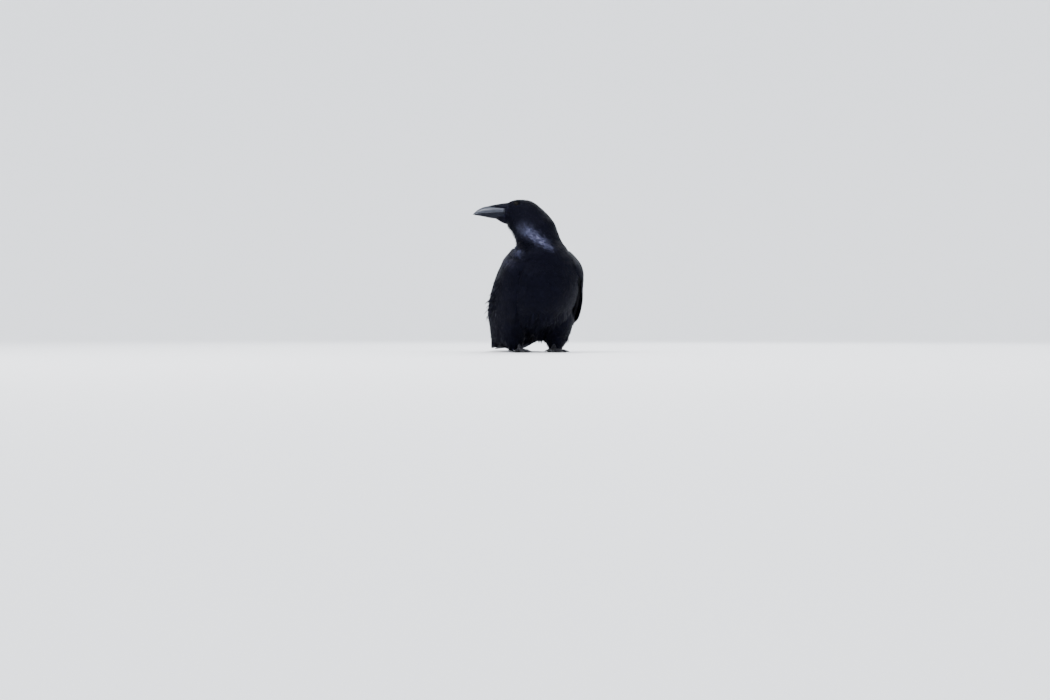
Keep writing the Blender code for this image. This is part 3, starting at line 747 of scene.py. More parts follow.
def grow(name, form, span, turn, sizes, gaps, depth, hide, seed, unwrap, keep=None, material=None, **more):
    """A tract of feathers in rows over a form between two stations. sizes is a table like BODY_VANES, gaps
    are the distances between rows and in a row as shares of length and width, depth is a table of the roots'
    depth, hide are solids whose cover makes a feather needless, keep picks roots by station and turn."""
    rng = np.random.default_rng(seed)
    table = np.array(sizes, float).T
    at = [lambda x, k=k: np.interp(x, table[0], table[k]) for k in range(5)]
    row_gap, side_gap = (lambda x: gaps[0] * MM * at[1](x)), (lambda x: gaps[1] * MM * at[2](x))
    s, t = rooted_rows(form, span, turn, row_gap, side_gap, rng)
    root, ahead, normal, _ = form.lie(s, t)
    shown = ~covered(root, normal, hide, COVER_REACH)
    if keep:
        shown &= keep(s, t)
    room = np.ones(len(s))
    for eye in EYE_PLACES:
        gap = np.linalg.norm(eye - root, axis=1)
        before = ((eye - root) * ahead).sum(1) > 0.3 * gap
        room = np.where(before, np.minimum(room, np.maximum(gap - EYE_OPEN, 1.2 * MM)), room)
        shown &= gap > EYE_CLEAR
    s, t, room = s[shown], t[shown], room[shown]
    count = len(s)
    size = (
        np.minimum(MM * at[1](s) * rng.uniform(0.84, 1.12, count), room),
        MM * at[2](s) * rng.uniform(0.86, 1.1, count),
        np.clip(at[3](s) + rng.normal(0, 0.12, count), 0, 1),
        MM * at[4](s) * rng.uniform(0.2, 1.6, count),
    )
    place = unwrapped(np.stack([(t - turn[0]) / (turn[1] - turn[0]), s / form.end], -1), unwrap)
    sink = 0.9 * MM * look_up(depth, s)
    return dress(name, form, s, t, size, sink, place, material or contour, rng, **more)


contour = plumage_material("contour_feathers", 0.6, 0.54, 0.07)
body = Form(body_tube, TUBE_END, -1)
ROUND = (0.0, 2 * math.pi)
limb_trees = solid_tree("wing_left", "wing_right", "thigh_left", "thigh_right")


def from_crown(t):
    """Angle from the crown, to either side, of a turn round the body."""
    return np.abs((t + math.pi) % (2 * math.pi) - math.pi)


def face_edge(t):
    """Station of the first feathers at turn t: level with the
    mouth, the bill's base is bare a little further back."""
    return BARE_NOTCH * np.exp(-(((from_crown(t) - GAPE_TURN) / 0.34) ** 2))


def off_gape(s, t):
    """Behind the edge of the face, and away from the corner of the mouth."""
    beside = np.abs(from_crown(t) - GAPE_TURN - GAPE_SLOPE * s)
    return (s > face_edge(t)) & ((s > GAPE_END) | (beside > 0.08 - 0.04 * s))


def is_front(s, t):
    return np.abs(t - math.pi) < math.radians(100)


def is_open_back(s, t):
    """The mantle before the wings meet over it, and the rump and upper tail coverts behind them."""
    return ~is_front(s, t) & ((s < 9.2) | (s > 13.0))


for name, span, table, gaps, fan, seed, keep in (
    ("head_feathers", (0.02, 2.7), HEAD_VANES, (0.26, 0.60), 1, 1, off_gape),
    ("nape_feathers", (2.6, 4.4), NECK_VANES, (0.17, 0.50), 3, 2, None),
    ("neck_feathers", (4.3, SHOULDERS), NECK_VANES, (0.17, 0.44), 3, 3, None),
    ("breast_feathers", (SHOULDERS, 10.6), BODY_VANES, (0.16, 0.40), 4, 4, is_front),
    ("belly_feathers", (10.6, TUBE_END), BODY_VANES, (0.16, 0.42), 4, 5, is_front),
    ("back_feathers", (SHOULDERS, TUBE_END), BODY_VANES, (0.18, 0.44), 3, 6, is_open_back),
):
    grow(name, body, span, ROUND, table, gaps, COAT_DEPTH, limb_trees, seed, BODY_UNWRAP, keep, fan=fan)


HACKLES, BELLY_PLUMES = 760, 330


def make_hackles():
    """The throat's hackles: long lances that stand out like a beard."""
    rng = np.random.default_rng(60)
    count = HACKLES
    s = rng.uniform(0.15, 4.6, count)
    t = math.pi + rng.normal(0, 0.42, count)
    size = (
        MM * rng.uniform(15, 24, count) * np.interp(s, (0, 1, 2, 4.6), (0.4, 0.65, 0.95, 1.1)),
        MM * rng.uniform(1.8, 3.0, count) * np.interp(s, (0, 2), (0.5, 1.0)),
        np.ones(count),
        MM * rng.uniform(0.5, 5.0, count) * np.interp(s, (0, 1, 2, 3.2, 4.6), (0.9, 1.3, 1.2, 0.6, 0.3)),
    )
    place = unwrapped(np.stack([t / (2 * math.pi), s / TUBE_END], -1), BODY_UNWRAP)
    depth = MM * look_up(COAT_DEPTH, s)
    dress("throat_hackles", body, s, t, size, depth, place, contour, rng, yaw=0.18)


make_hackles()


def make_belly_fluff():
    """Loose feathers of the lower belly, which hang down between
    and over the thighs. Far back every other one hangs lower."""
    rng = np.random.default_rng(61)
    count = BELLY_PLUMES
    s = rng.uniform(10.4, 14.4, count)
    t = math.pi + rng.uniform(-1.0, 1.0, count)
    low = (np.arange(count) % 2 == 0) & (s > 12.2)
    size = (
        MM * rng.uniform(34, 50, count),
        MM * rng.uniform(9, 15, count),
        rng.uniform(0.4, 0.9, count),
        MM * rng.uniform(2, 15, count) * np.cos((t - math.pi) * 0.9) + 13 * MM * low,
    )
    place = unwrapped(np.stack([t / (2 * math.pi), s / TUBE_END], -1), BODY_UNWRAP)
    depth = MM * look_up(COAT_DEPTH, s) * 0.6
    dress("belly_fluff", body, s, t, size, depth, place, contour, rng, fan=4, yaw=0.16)


make_belly_fluff()

# ---------------------------------------------------------------- thighs
# Soft trousers of narrow feathers hang down over the hocks, shorter and more pointed the lower they are.

THIGH_VANES = (
    (0.0, 30.0, 11.0, 0.5, 2.0),
    (2.0, 28.0, 10.0, 0.6, 3.5),
    (4.0, 26.0, 8.0, 0.8, 4.0),
    (5.0, 22.0, 6.0, 0.9, 3.0),
)
THIGH_ROOTS = ((0, 7), (4, 6), (5, 4))  # station and depth of the roots in mm
THIGH_FLUFF = 3.5 * MM  # how far outside the thigh's solid the feathers are laid


def make_thigh_feathers():
    hide = solid_tree("trunk", "wing_left", "wing_right", "tail")
    for name, side, left in (("left", 1, 0.87), ("right", -1, 0.93)):
        outside = lambda s, t, side=side: thigh_tube(s, t, side, -THIGH_FLUFF)
        form = Form(outside, len(THIGH_STATIONS) - 1, -side)
        grow(
            f"thigh_feathers_{name}", form, (0.2, 4.7), ROUND, THIGH_VANES, (0.18, 0.42),
            THIGH_ROOTS, hide, 10 + side, (left, 0.01, 0.05, 0.4), fan=3,
        )


make_thigh_feathers()

# ---------------------------------------------------------------- wings
# A folded wing shows rows of coverts over the shoulder, then the stack of secondaries, and the primaries
# coming out behind. Each long vane has its lower edge outside the next lower one.

WING_END = len(WING_STATIONS) - 1
LESSER_VANES = ((0.0, 15.0, 8.0, 0.3, 0.4), (1.0, 21.0, 10.0, 0.3, 0.5), (1.7, 27.0, 12.0, 0.2, 0.5))
WING_VANES = ((1.2, 22.0, 12.0, 0.1, 0.3), (2.0, 28.0, 15.0, 0.1, 0.3), (2.8, 36.0, 17.0, 0.0, 0.4))
LESSER_ROOTS, MEDIAN_ROOTS = ((0, 4.0),), ((0, 2.5), (1, 3.5), (4, 4.0))  # station and depth in mm
# Lower edge, widest line and upper edge of the stack of primaries behind the left wing.
PRIMARY_STATIONS = (
    ((60, 118, 44), (50, 128, 52), (34, 136, 58)),
    ((54, 165, 36), (42, 176, 42), (22, 186, 45)),
    ((42, 222, 24), (31, 232, 27), (12, 236, 29)),
    ((31, 268, 11), (21, 275, 12.8), (8, 276, 13.5)),
    ((21, 289, 8.2), (15, 294, 8.8), (9, 293, 9.3)),
)
PRIMARY_END = len(PRIMARY_STATIONS) - 1
# Place across the wing from the lower edge, first and last station, width in mm.
GREATER_COVERTS = [(0.03 + 0.056 * k, 2.35 - 0.02 * k, 4.3 - 0.045 * k, 16.0) for k in range(17)]
SECONDARIES = [(0.06 + 0.073 * k, 3.0, 6.98 - 0.05 * k, 24.0) for k in range(11)]
PRIMARY_TIPS = (3.72, 4.0, 3.93, 3.6, 3.2, 2.8, 2.45, 2.1, 1.8)
PRIMARIES = [(0.10 + 0.095 * k, 0.02, tip, 21.0) for k, tip in enumerate(PRIMARY_TIPS)]
FLIGHT_PLACES = np.concatenate([np.linspace(0, 0.84, 11), [0.89, 0.93, 0.96, 0.985, 1.0]])
FLIGHT_ROLL = math.radians(8.5)

flight = plumage_material("flight_feathers", 0.4, 0.46, 0.085)
AS_BLADES = {"across": BROAD, "camber": 0.14, "material": flight}


def long_vanes(name, form, rows, roll, unwrap, seed, lift=0.0, step=0.0, tuck=0.0):
    """Flight feathers, one a row: a narrow quill that widens to a broad vane with a rounded tip. lift is
    their height in mm, step the rise from one to the next, and tuck how far the tips bend inward."""
    rng = np.random.default_rng(seed)
    v, first, last, width = np.array(rows, float).T
    count = len(v)
    line = np.linspace(0, 1, 40)
    course = form.place(first[:, None] + (last - first)[:, None] * line, v[:, None] + 0 * line)
    length = np.linalg.norm(np.diff(course, axis=1), axis=-1).sum(1)
    at = first[:, None] + (last - first)[:, None] * FLIGHT_PLACES
    path, _, normal, _ = form.lie(at, v[:, None] + 0 * at)
    spread = 1 - np.exp(-14 * FLIGHT_PLACES - 0.5)
    end_round = np.sqrt(np.clip(1 - (np.clip(FLIGHT_PLACES - 0.87, 0, 1) / 0.132) ** 2, 0.02, 1))
    half = MM * width[:, None] / 2 * spread * end_round
    height = MM * (lift + step * np.arange(count)[:, None] - tuck * FLIGHT_PLACES**5)
    path = path + normal * height[..., None]
    tilt = roll * np.sign(v) + rng.normal(0, 0.03, count)
    shaft = -0.3 * np.sign(roll)
    points = vane_points(path, normal, half, BROAD, 0.09, tilt, rng, shaft=shaft, fraying=0.5)
    tint = tinted(path.mean(1), rng)
    place = unwrapped(np.stack([np.abs(v), first / form.end], -1), unwrap)
    return put_vanes(name, points, BROAD, half, length, place, tint, flight, FLIGHT_PLACES)


def make_wing_feathers():
    hide = solid_tree("trunk", "neck")
    for name, side, left in (("left", 1, 0.63), ("right", -1, 0.75)):
        wing = Form(wing_surface(WING_STATIONS, side), WING_END, side)
        unwrap = (left, 0.01, 0.10, 0.6)
        grow(
            f"lesser_coverts_{name}", wing, (0.0, 1.7), (0.01, 0.99), LESSER_VANES, (0.20, 0.48),
            LESSER_ROOTS, hide, 20 + side, unwrap, fan=3,
        )
        grow(
            f"median_coverts_{name}", wing, (1.4, 2.75), (0.01, 0.99), WING_VANES, (0.28, 0.52),
            MEDIAN_ROOTS, hide, 23 + side, unwrap, roll=-side * 0.09, **AS_BLADES,
        )
        long_vanes(f"greater_coverts_{name}", wing, GREATER_COVERTS, -side * 0.14, unwrap, 26, lift=0.8)
        roll = -side * FLIGHT_ROLL
        long_vanes(f"secondaries_{name}", wing, SECONDARIES, roll, unwrap, 28, lift=-0.6, tuck=6.0)
        stack = Form(wing_surface(PRIMARY_STATIONS, side), PRIMARY_END, side)
        below = (left, 0.65, 0.1, 0.3)
        fan = long_vanes(f"primary_feathers_{name}", stack, PRIMARIES, roll, below, 30)
        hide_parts(f"primaries_{name}")


make_wing_feathers()

# ---------------------------------------------------------------- mantle, scapulars and tertials
# Between the wings the back is closed by one blanket of feathers: the mantle in front, scapulars along both
# sides, and behind them the long broad tertials of both wings, which meet over the rump.

# The blanket's left edge on the wing's upper edge, and its middle line (y, z), in mm from between the feet.
BACK_STATIONS = (
    ((60, -34, 206), (-14, 221)),
    ((61, -6, 207), (12, 217)),
    ((56, 32, 192), (44, 202)),
    ((46, 70, 163), (78, 174)),
    ((35, 114, 127), (119, 136)),
    ((26, 163, 84), (166, 90)),
    ((17, 208, 49), (210, 53)),
    ((11, 240, 33), (240, 35)),
)
BACK_END = len(BACK_STATIONS) - 1
BACK_ROOTS = ((0, 3.0),)  # station and depth in mm
DRAPE = 75 * MM  # how fast the blanket falls away beyond its edges
BACK_VANES = (
    (0.0, 28.0, 13.0, 0.3, 0.4),
    (1.5, 36.0, 17.0, 0.1, 0.5),
    (3.0, 48.0, 21.0, 0.0, 0.6),
    (4.6, 60.0, 24.0, 0.0, 0.6),
)
SCAPULAR_VANES = ((0.0, 34.0, 15.0, 0.2, 0.3), (2.0, 48.0, 19.0, 0.1, 0.3), (5.0, 60.0, 21.0, 0.1, 0.2))
TERTIALS = [
    (side * (0.90 - 0.28 * k), 2.5 + 0.2 * k, 5.95 + 0.12 * k, 30.0) for k in range(4) for side in (1, -1)
]


def back_sheet(s, c):
    """The back at station s, a share c of the way from its middle line to the
    left wing: a parabola across, which drapes over the wing beyond its edge."""
    edge, middle = MM * along(column(BACK_STATIONS, 0), s), MM * along(column(BACK_STATIONS, 1), s)
    middle = np.concatenate([0 * middle[..., :1], middle], axis=-1)
    c = c[..., None]
    fall = DRAPE * np.maximum(np.abs(c) - 0.85, 0) ** 2
    return FEET + middle + (edge * (0, 1, 1) - middle) * c**2 + edge * (1, 0, 0) * c - fall * SKYWARD


def make_back():
    back = Form(back_sheet, BACK_END, -1)
    unwrap = (0.63, 0.01, 0.22, 0.6)
    for name, side in (("left", 1), ("right", -1)):
        turn = (0.92, 1.30) if side > 0 else (-1.30, -0.92)
        grow(
            f"scapulars_{name}", back, (0.2, 5.0), turn, SCAPULAR_VANES, (0.24, 0.36), BACK_ROOTS, [],
            32 + side, unwrap, **AS_BLADES,
        )
    grow(
        "mantle_feathers", back, (0.0, 3.9), (-1.0, 1.0), BACK_VANES, (0.20, 0.40), BACK_ROOTS, [], 34,
        unwrap, **AS_BLADES,
    )
    long_vanes("tertials", back, TERTIALS, -0.07, unwrap, 36, lift=-2.4, step=0.3, tuck=2.0)


make_back()

# ---------------------------------------------------------------- flanks
# Long loose feathers of the sides lie over the front of the folded wing. On the right they cover its edge
# wholly, and a few stand off in the wind; on the left the edge stays free and there is a dark gap behind it.

# On the breast and on the wing, downwards: inner and outer edge of the flank of the bird's right side.
FLANK_STATIONS = (
    ((-45, -84, 202), (-61, -53, 202)),
    ((-46, -91, 188), (-70, -56, 192)),
    ((-58, -88, 166), (-80, -62, 176)),
    ((-64, -80, 138), (-91, -40, 150)),
    ((-66, -66, 110), (-95, -14, 122)),
    ((-65, -46, 84), (-97, 12, 95)),
    ((-62, -22, 60), (-94, 30, 72)),
    ((-58, -6, 42), (-88, 44, 50)),
    ((-54, 8, 28), (-82, 56, 32)),
    ((-50, 16, 16), (-76, 64, 16)),
)
FLANK_END = len(FLANK_STATIONS) - 1
# How far the flank bulges and how deep its feathers are rooted, station and mm.
FLANK_BULGE = ((0, 1.5), (1, 3.5), (2, 7.0), (9, 7.0))
FLANK_ROOTS = ((0, 8), (2, 8), (5, 6), (8, 4))
LOOSE_PLUMES = 70
FLANK_VANES = (
    (0.0, 24.0, 11.0, 0.4, 0.4),
    (2.5, 30.0, 13.0, 0.4, 0.8),
    (5.0, 38.0, 13.0, 0.5, 2.0),
    (7.0, 30.0, 10.0, 0.7, 3.0),
    (9.0, 22.0, 8.0, 0.8, 2.0),
)


def flank_sheet(s, c):
    """The right flank at station s, a share c of the way from
    the breast to the wing: straight, but bulging out."""
    inner, outer = (MM * along(column(FLANK_STATIONS, k), s) for k in (0, 1))
    bulge = MM * look_up(FLANK_BULGE, s) * 4 * c * (1 - c)
    return FEET + inner + (outer - inner) * c[..., None] + bulge[..., None] * np.array([-0.85, -0.5, 0.0])


def make_flanks():
    flank = Form(flank_sheet, FLANK_END, -1)
    unwrap = (0.86, 0.45, 0.12, 0.18)
    grow(
        "flank_feathers", flank, (0.0, 7.6), (-0.05, 1.05), FLANK_VANES, (0.17, 0.42),
        FLANK_ROOTS, [], 44, unwrap, fan=4,
    )
    rng = np.random.default_rng(45)
    count = LOOSE_PLUMES
    s, c = rng.uniform(2.7, 5.2, count), rng.uniform(0.6, 1.12, count)
    length, width = MM * rng.uniform(20, 36, count), MM * rng.uniform(2, 4.5, count)
    size = (length, width, np.ones(count), MM * rng.uniform(3, 11, count))
    place = unwrapped(np.stack([c / 1.2, s / FLANK_END], -1), unwrap)
    dress("loose_plumes", flank, s, c, size, MM * np.full(count, 2.0), place, contour, rng, fan=4, yaw=0.2)


make_flanks()

# ---------------------------------------------------------------- tail
# Twelve long vanes folded into a wedge, the middle pair on
# top and longest; coverts of the rump lie over their bases.

TAIL_STATIONS = (
    ((0, 140, 43), 20.0, 11.0),
    ((0, 190, 31.5), 26.0, 7.5),
    ((0, 235, 20), 29.0, 5.8),
    ((0, 280, 10), 29.0, 4.6),
    ((0, 298, 7), 23.0, 3.6),
    ((0, 309, 5.6), 9.0, 2.6),
)
TAIL_END = len(TAIL_STATIONS) - 1
TAIL_SAG = 0.07
RECTRICES = [(side * (0.93 - 0.155 * k), 0.3, 4.1 + 0.17 * k, 25.0) for k in range(6) for side in (1, -1)]


def tail_sheet(s, x):
    """The tail's upper face at station s, a share x of its half width to the left: it sags to both sides."""
    middle, half, thick = (MM * along(column(TAIL_STATIONS, k), s) for k in range(3))
    beside = np.minimum(half, 17 * MM) * x[..., None]
    drop = TAIL_SAG * half * x[..., None] ** 2
    return FEET + middle + beside * (1, 0, 0) + (thick / 2 - drop) * SKYWARD


# Middle line and half width of the underside of the tail's base, backwards.
VENT_STATIONS = (
    ((0, 70, 40), 34.0),
    ((0, 110, 38), 31.0),
    ((0, 150, 33), 29.0),
    ((0, 190, 24.5), 28.0),
    ((0, 225, 16), 27.0),
    ((0, 262, 7.5), 24.0),
)
VENT_VANES = ((0.0, 34.0, 14.0, 0.4, 0.6), (4.0, 44.0, 16.0, 0.2, 0.4))
VENT_ROOTS = ((0, 2.5),)


def vent_sheet(s, c):
    """The undertail coverts at station s, a share c of the half width to the left: a shallow bowl."""
    middle, half = (MM * along(column(VENT_STATIONS, k), s) for k in range(2))
    c = c[..., None]
    return FEET + middle + half * c * (1, 0, 0) + 0.22 * half * c**2 * SKYWARD


vent = Form(vent_sheet, len(VENT_STATIONS) - 1, 1)
grow(
    "undertail_coverts", vent, (0.0, 4.3), (-1.0, 1.0), VENT_VANES, (0.18, 0.42), VENT_ROOTS, [], 46,
    (0.86, 0.42, 0.12, 0.03), fan=4,
)
tail = Form(tail_sheet, TAIL_END, -1)
rectrices = long_vanes("rectrices", tail, RECTRICES, -0.09, (0.88, 0.65, 0.1, 0.3), 40, lift=-3.6, step=0.32)
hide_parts("tail")

# ---------------------------------------------------------------- bill
# Two sheaths of dark horn over bone: the upper one has a ridged culmen and a hooked tip that overhangs the
# lower one. They grow from under the feathers of the face, so both run on a little way into the head.

# Along the bill in mm: forward, then the heights of culmen,
# mouth line and keel above the feather edge, half width.
BILL_STATIONS = (
    (-9.0, -2.0, -18.0, -31.0, 13.6),
    (-0.6, -0.8, -18.0, -33.0, 12.6),
    (14.6, -1.6, -18.4, -30.2, 10.6),
    (30.6, -3.0, -18.6, -28.0, 8.6),
    (44.0, -5.6, -19.0, -25.2, 6.2),
    (55.5, -11.2, -19.8, -23.2, 3.9),
    (62.5, -17.0, -20.8, -22.2, 1.9),
)
BILL_TIP = np.array([66.0, -21.2, 0.0])
BILL_END = len(BILL_STATIONS) - 1
BILL_RINGS = 64
MOUTH_GAP = 0.35
CULMEN_ARCH, KEEL_ARCH = 0.8, 0.7  # powers on the sine that round the two arches
RIDGE_PINCH = 0.33  # how much the upper arch narrows at the culmen
LOWER_WIDTH = 0.93
HORN_COLOURS = (0.003, 0.0035, 0.007), (0.022, 0.0245, 0.035)


def upper_arch(b, arc, swell=0.0):
    """The upper sheath at station b, an angle arc round from the bird's left
    over the culmen: a rounded arch that narrows to a ridge. Its sides bulge
    a little above the cutting edge. swell makes it larger all round."""
    forward, top, mouth, _, half = np.moveaxis(along(np.array(BILL_STATIONS), b), -1, 0)
    sine = np.abs(np.sin(arc))
    lift = mouth + (top - mouth + swell) * sine**CULMEN_ARCH
    out = (half + swell) * np.cos(arc) * (1 - RIDGE_PINCH * sine**4) * (0.97 + 0.06 * np.sin(2 * sine))
    return np.stack([forward + 0 * arc, lift, out], -1)


def lower_arch(b, arc, swell=0.0):
    """The lower sheath, with arc from 180 to 360 degrees: a bowl with a blunt keel."""
    forward, _, mouth, keel, half = np.moveaxis(along(np.array(BILL_STATIONS), b), -1, 0)
    slit = mouth - MOUTH_GAP
    depth = (slit - keel + swell) * np.abs(np.sin(arc)) ** KEEL_ARCH
    return np.stack([forward + 0 * arc, slit - depth, (LOWER_WIDTH * half + swell) * np.cos(arc)], -1)


def stretched(paint, where, scale, size, detail):
    """A noise drawn out along the axes by scale."""
    drawn = paint.make("VectorMath", {"operation": "MULTIPLY"}, {0: where, 1: (*scale, 1)})
    return paint.make("TexNoise", (), {"Vector": drawn, "Scale": size, "Detail": detail})


def horn_material(name, gloss, shade):
    """Near-black horn that shines: fine streaks run along
    it, with faint growth rings and a few pale scratches.
    Its colour is scaled by the last argument, which darkens the lower sheath as painted shade."""
    made, paint, sockets = new_material(
        name,
        Specular_IOR_Level=gloss,
        Specular_Tint=(0.8, 0.86, 1.0, 1),
        Coat_Weight=gloss / 8,
        Coat_Roughness=0.2,
    )
    where = paint.make("UVMap", {"uv_map": "horn"})
    streaks = stretched(paint, where, (0.35, 3.0), 1.6, 6.0)
    rings = stretched(paint, where, (2.2, 0.15), 1.0, 3.0)
    scratches = stretched(paint, where, (0.12, 5.0), 1.1, 2.0)
    cloudy = paint.make("TexNoise", (), {"Vector": where, "Scale": 0.18, "Detail": 3.0})
    dark, pale = (tuple(shade * part for part in colour) + (1,) for colour in HORN_COLOURS)
    base = (streaks * 0.5 + cloudy * 0.5).mix(dark, pale)
    worn = scratches.math("GREATER_THAN", scratches, 0.74) * cloudy * 0.5
    feed(paint, sockets, Base_Color=worn.mix(base, (0.10, 0.10, 0.11, 1)), Roughness=streaks * 0.26 + 0.22)
    feed(paint, sockets, Normal=(streaks * 0.8 + rings * 0.25).bump(0.35, 0.18 * MM))
    return made


def put_surface(name, points, faces, material, map_name, flat, crease=None):
    """A piece from a grid's points and faces, with a map of its own given point by point."""
    made = put_mesh(name, points, faces, material, crease)
    corners = np.zeros(len(made.data.loops), np.int32)
    made.data.loops.foreach_get("vertex_index", corners)
    put_map(made.data, map_name, flat, corners)
    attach(made, "root")
    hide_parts(name)
    return made


def tube_along(path, wide, deep, aside, rings, sides):
    """A tube whose rings are ellipses square to a smooth path through a row of points."""
    at = np.linspace(0, len(path) - 1, rings)
    middle, wide, deep = along(path, at), along(wide[:, None], at)[:, None], along(deep[:, None], at)[:, None]
    ahead = unit(np.gradient(middle, axis=0))
    aside = unit(aside - ahead * (ahead @ aside)[:, None])
    turn = turns(sides)[:, None]
    ring = aside[:, None] * np.cos(turn) * wide + np.cross(ahead, aside)[:, None] * np.sin(turn) * deep
    return middle[:, None] + ring


def make_bill():
    """Each sheath is an arch closed by a hollowed palate;
    the upper one shrinks over its last rings to the tip."""
    b, arc = np.meshgrid(np.linspace(0, BILL_END, BILL_RINGS), np.linspace(0, math.pi, 41), indexing="ij")
    inner = np.linspace(-0.92, 0.92, 9)[None, :, None]
    # The last value scales a sheath's horn colour: 0.6 on the lower one is painted shade under the bill.
    for name, arch, start, hollow, gloss, shade in (
        ("bill_upper", upper_arch, 0.0, 0.12, 0.46, 1.0),
        ("bill_lower", lower_arch, math.pi, -0.1, 0.05, 0.6),
    ):
        shell = arch(b, arc + start)
        left, right = shell[:, :1], shell[:, -1:]
        palate = right + (left - right) * (inner / 2 + 0.5)
        palate[..., 1] += hollow * (1 - inner[..., 0] ** 2) * np.abs(left[..., 2])
        rings = np.concatenate([shell, palate], axis=1)
        if name == "bill_upper":
            middle = rings[-1].mean(0)
            share = np.array([0.62, 0.36, 0.12])[:, None, None]
            tip = BILL_TIP + (rings[-1:] - middle) * share + (middle - BILL_TIP) * share**1.5
            rings = np.concatenate([rings, tip])
        points, faces = capped_tube(from_head(rings))
        girth = np.cumsum(np.linalg.norm(np.diff(rings, axis=1, prepend=rings[:, :1]), axis=-1), axis=1)
        horn = horn_material(name.replace("bill", "horn"), gloss, shade)
        flat = np.stack([rings[..., 0], girth], -1)
        put_surface(name, points, faces, horn, "horn", flat, crease=55)


make_bill()

# ---------------------------------------------------------------- bristles of the face
# Stiff hair-like feathers root at the edge of the forehead and lie forward over
# the nostrils and the first half of the culmen; shorter ones ring the rest of
# the bill's base and the chin, and hide the line where horn and skin meet.

# name, count, turn round the head from the crown in degrees, last station of the roots
# on the head, height above the bill and width in mm, and share of the full reach
BRISTLES = (
    ("nasal_bristles", 900, (0, 64), 0.6, (0.3, 2.6), (0.9, 1.5), 1.0),
    ("lore_bristles", 420, (58, 120), 0.5, (0.1, 0.9), (0.6, 1.0), 1.0),
    ("chin_bristles", 800, (112, 180), 0.6, (0.3, 7.0), (0.8, 1.3), 1.0),
    ("brow_bristles", 900, (0, 180), 1.15, (0.1, 0.8), (0.6, 1.0), 0.25),
)
# How far they lie over the bill, in stations, at a turn from the crown in degrees.
BRISTLE_REACH = ((0, 2.1), (45, 1.8), (60, 0.75), (72, 0.1), (105, 0.05), (125, 0.4), (180, 1.25))

GAPE_CLEAR = 0.07  # turn to either side of the mouth's corner without bristles
BRISTLE_START = 0.88  # station of the bill that every bristle reaches
BRISTLE_TONE = 1.3  # how much paler than the plumage

bristle = plumage_material("bristles", 0.3, 0.5, 0.10)


def bill_skin(b, arc, swell):
    return np.where(np.sin(arc)[..., None] >= 0, upper_arch(b, arc, swell), lower_arch(b, arc, swell))


def lay_bristles(name, count, turn, last, height, width, share, seed):
    """Bristles as parabolas from the face, over a point above the bill's base, to a point above the bill.
    They reach far along the culmen and the keel and hardly at all at the corner of the mouth."""
    rng = np.random.default_rng(seed)
    t = np.radians(rng.uniform(*turn, count)) * rng.choice((-1, 1), count)
    s = last * rng.uniform(0.0, 1.0, count) ** 1.3 + face_edge(t)
    clear = np.abs(np.abs(t) - GAPE_TURN) > GAPE_CLEAR
    s, t, count = s[clear], t[clear], clear.sum()
    arc = math.pi / 2 - t
    far = share * look_up(BRISTLE_REACH, np.degrees(np.abs(t)))
    station = BRISTLE_START + far * rng.uniform(0.25, 1.0, count) + rng.exponential(0.12, count)
    rise = rng.uniform(*height, count)
    swing = rng.normal(0, 0.11, count)
    root = body.place(s, t) - 0.8 * MM * body.lie(s, t)[2]
    swell = 0.6 + 0.9 * rise + 1.5 * (share < 1)
    over = from_head(bill_skin(0.4 * station + 0.5 * share, arc + 0.4 * swing, swell))
    close = 1 - 0.9 * np.clip((station - 1) / (far + 0.1), 0, 1)
    tip = from_head(bill_skin(station, arc + swing, rise * close))
    at = RING_PLACES[:, None]
    path = root[:, None] * (1 - at) ** 2 + 2 * over[:, None] * at * (1 - at) + tip[:, None] * at**2
    out = path - from_head((0.0, -17.0, 0.0))
    outward = unit(out - (out @ FORWARD)[..., None] * FORWARD)
    half = MM * rng.uniform(*width, count)[:, None] / 2 * LANCE_OUTLINE
    points = vane_points(path, outward, half, NARROW, 0.4, rng.normal(0, 0.4, count), rng, fraying=0.1)
    length = np.linalg.norm(path[:, -1] - path[:, 0], axis=1)
    place = unwrapped(np.stack([t / (2 * math.pi) + 0.5, s / TUBE_END], -1), BODY_UNWRAP)
    tint = BRISTLE_TONE * tinted(root, rng)
    return put_vanes(name + "_vanes", points, NARROW, half, length, place, tint, bristle, RING_PLACES)


for seed, row in enumerate(BRISTLES):
    made = lay_bristles(*row, 50 + seed)
    if row[0] == "nasal_bristles":
        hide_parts("nasal_bristles")

# ---------------------------------------------------------------- eyes and corners of the mouth
# A dark brown eye, wet and bulging at the cornea, sits in rings of bare wrinkled lid. The same black skin
# edges the mouth's corners, which run on past the horn into the face.

EYE_RADIUS = 7.5 * MM
EYE_AXIS = (0.30, 0.05, 0.95)  # forward, up and out
GAPE_LIP = 0.6  # half height of a lip in mm
PUPIL, IRIS = 0.34, 0.66  # angles from the eye's axis
EYE_GLOSS = 0.12
LID_RINGS, LID_SIDES = 120, 10
# Angle of each fold of the lid from the eye's axis, its thickness in mm, and how wrinkled it is.
LIDS = ((0.70, 0.38, 0.05), (0.79, 0.36, 0.12), (0.88, 0.30, 0.18), (0.97, 0.24, 0.22))


def eye_axes(side):
    """The eye's own axes: out along the gaze, then forward and up across it."""
    forward, up, out = EYE_AXIS
    gaze = unit(forward * FORWARD + up * CROWNWARD + out * side * LEFTWARD)
    ahead = unit(FORWARD - gaze * (gaze @ FORWARD))
    return gaze, ahead, np.cross(gaze, ahead) * side


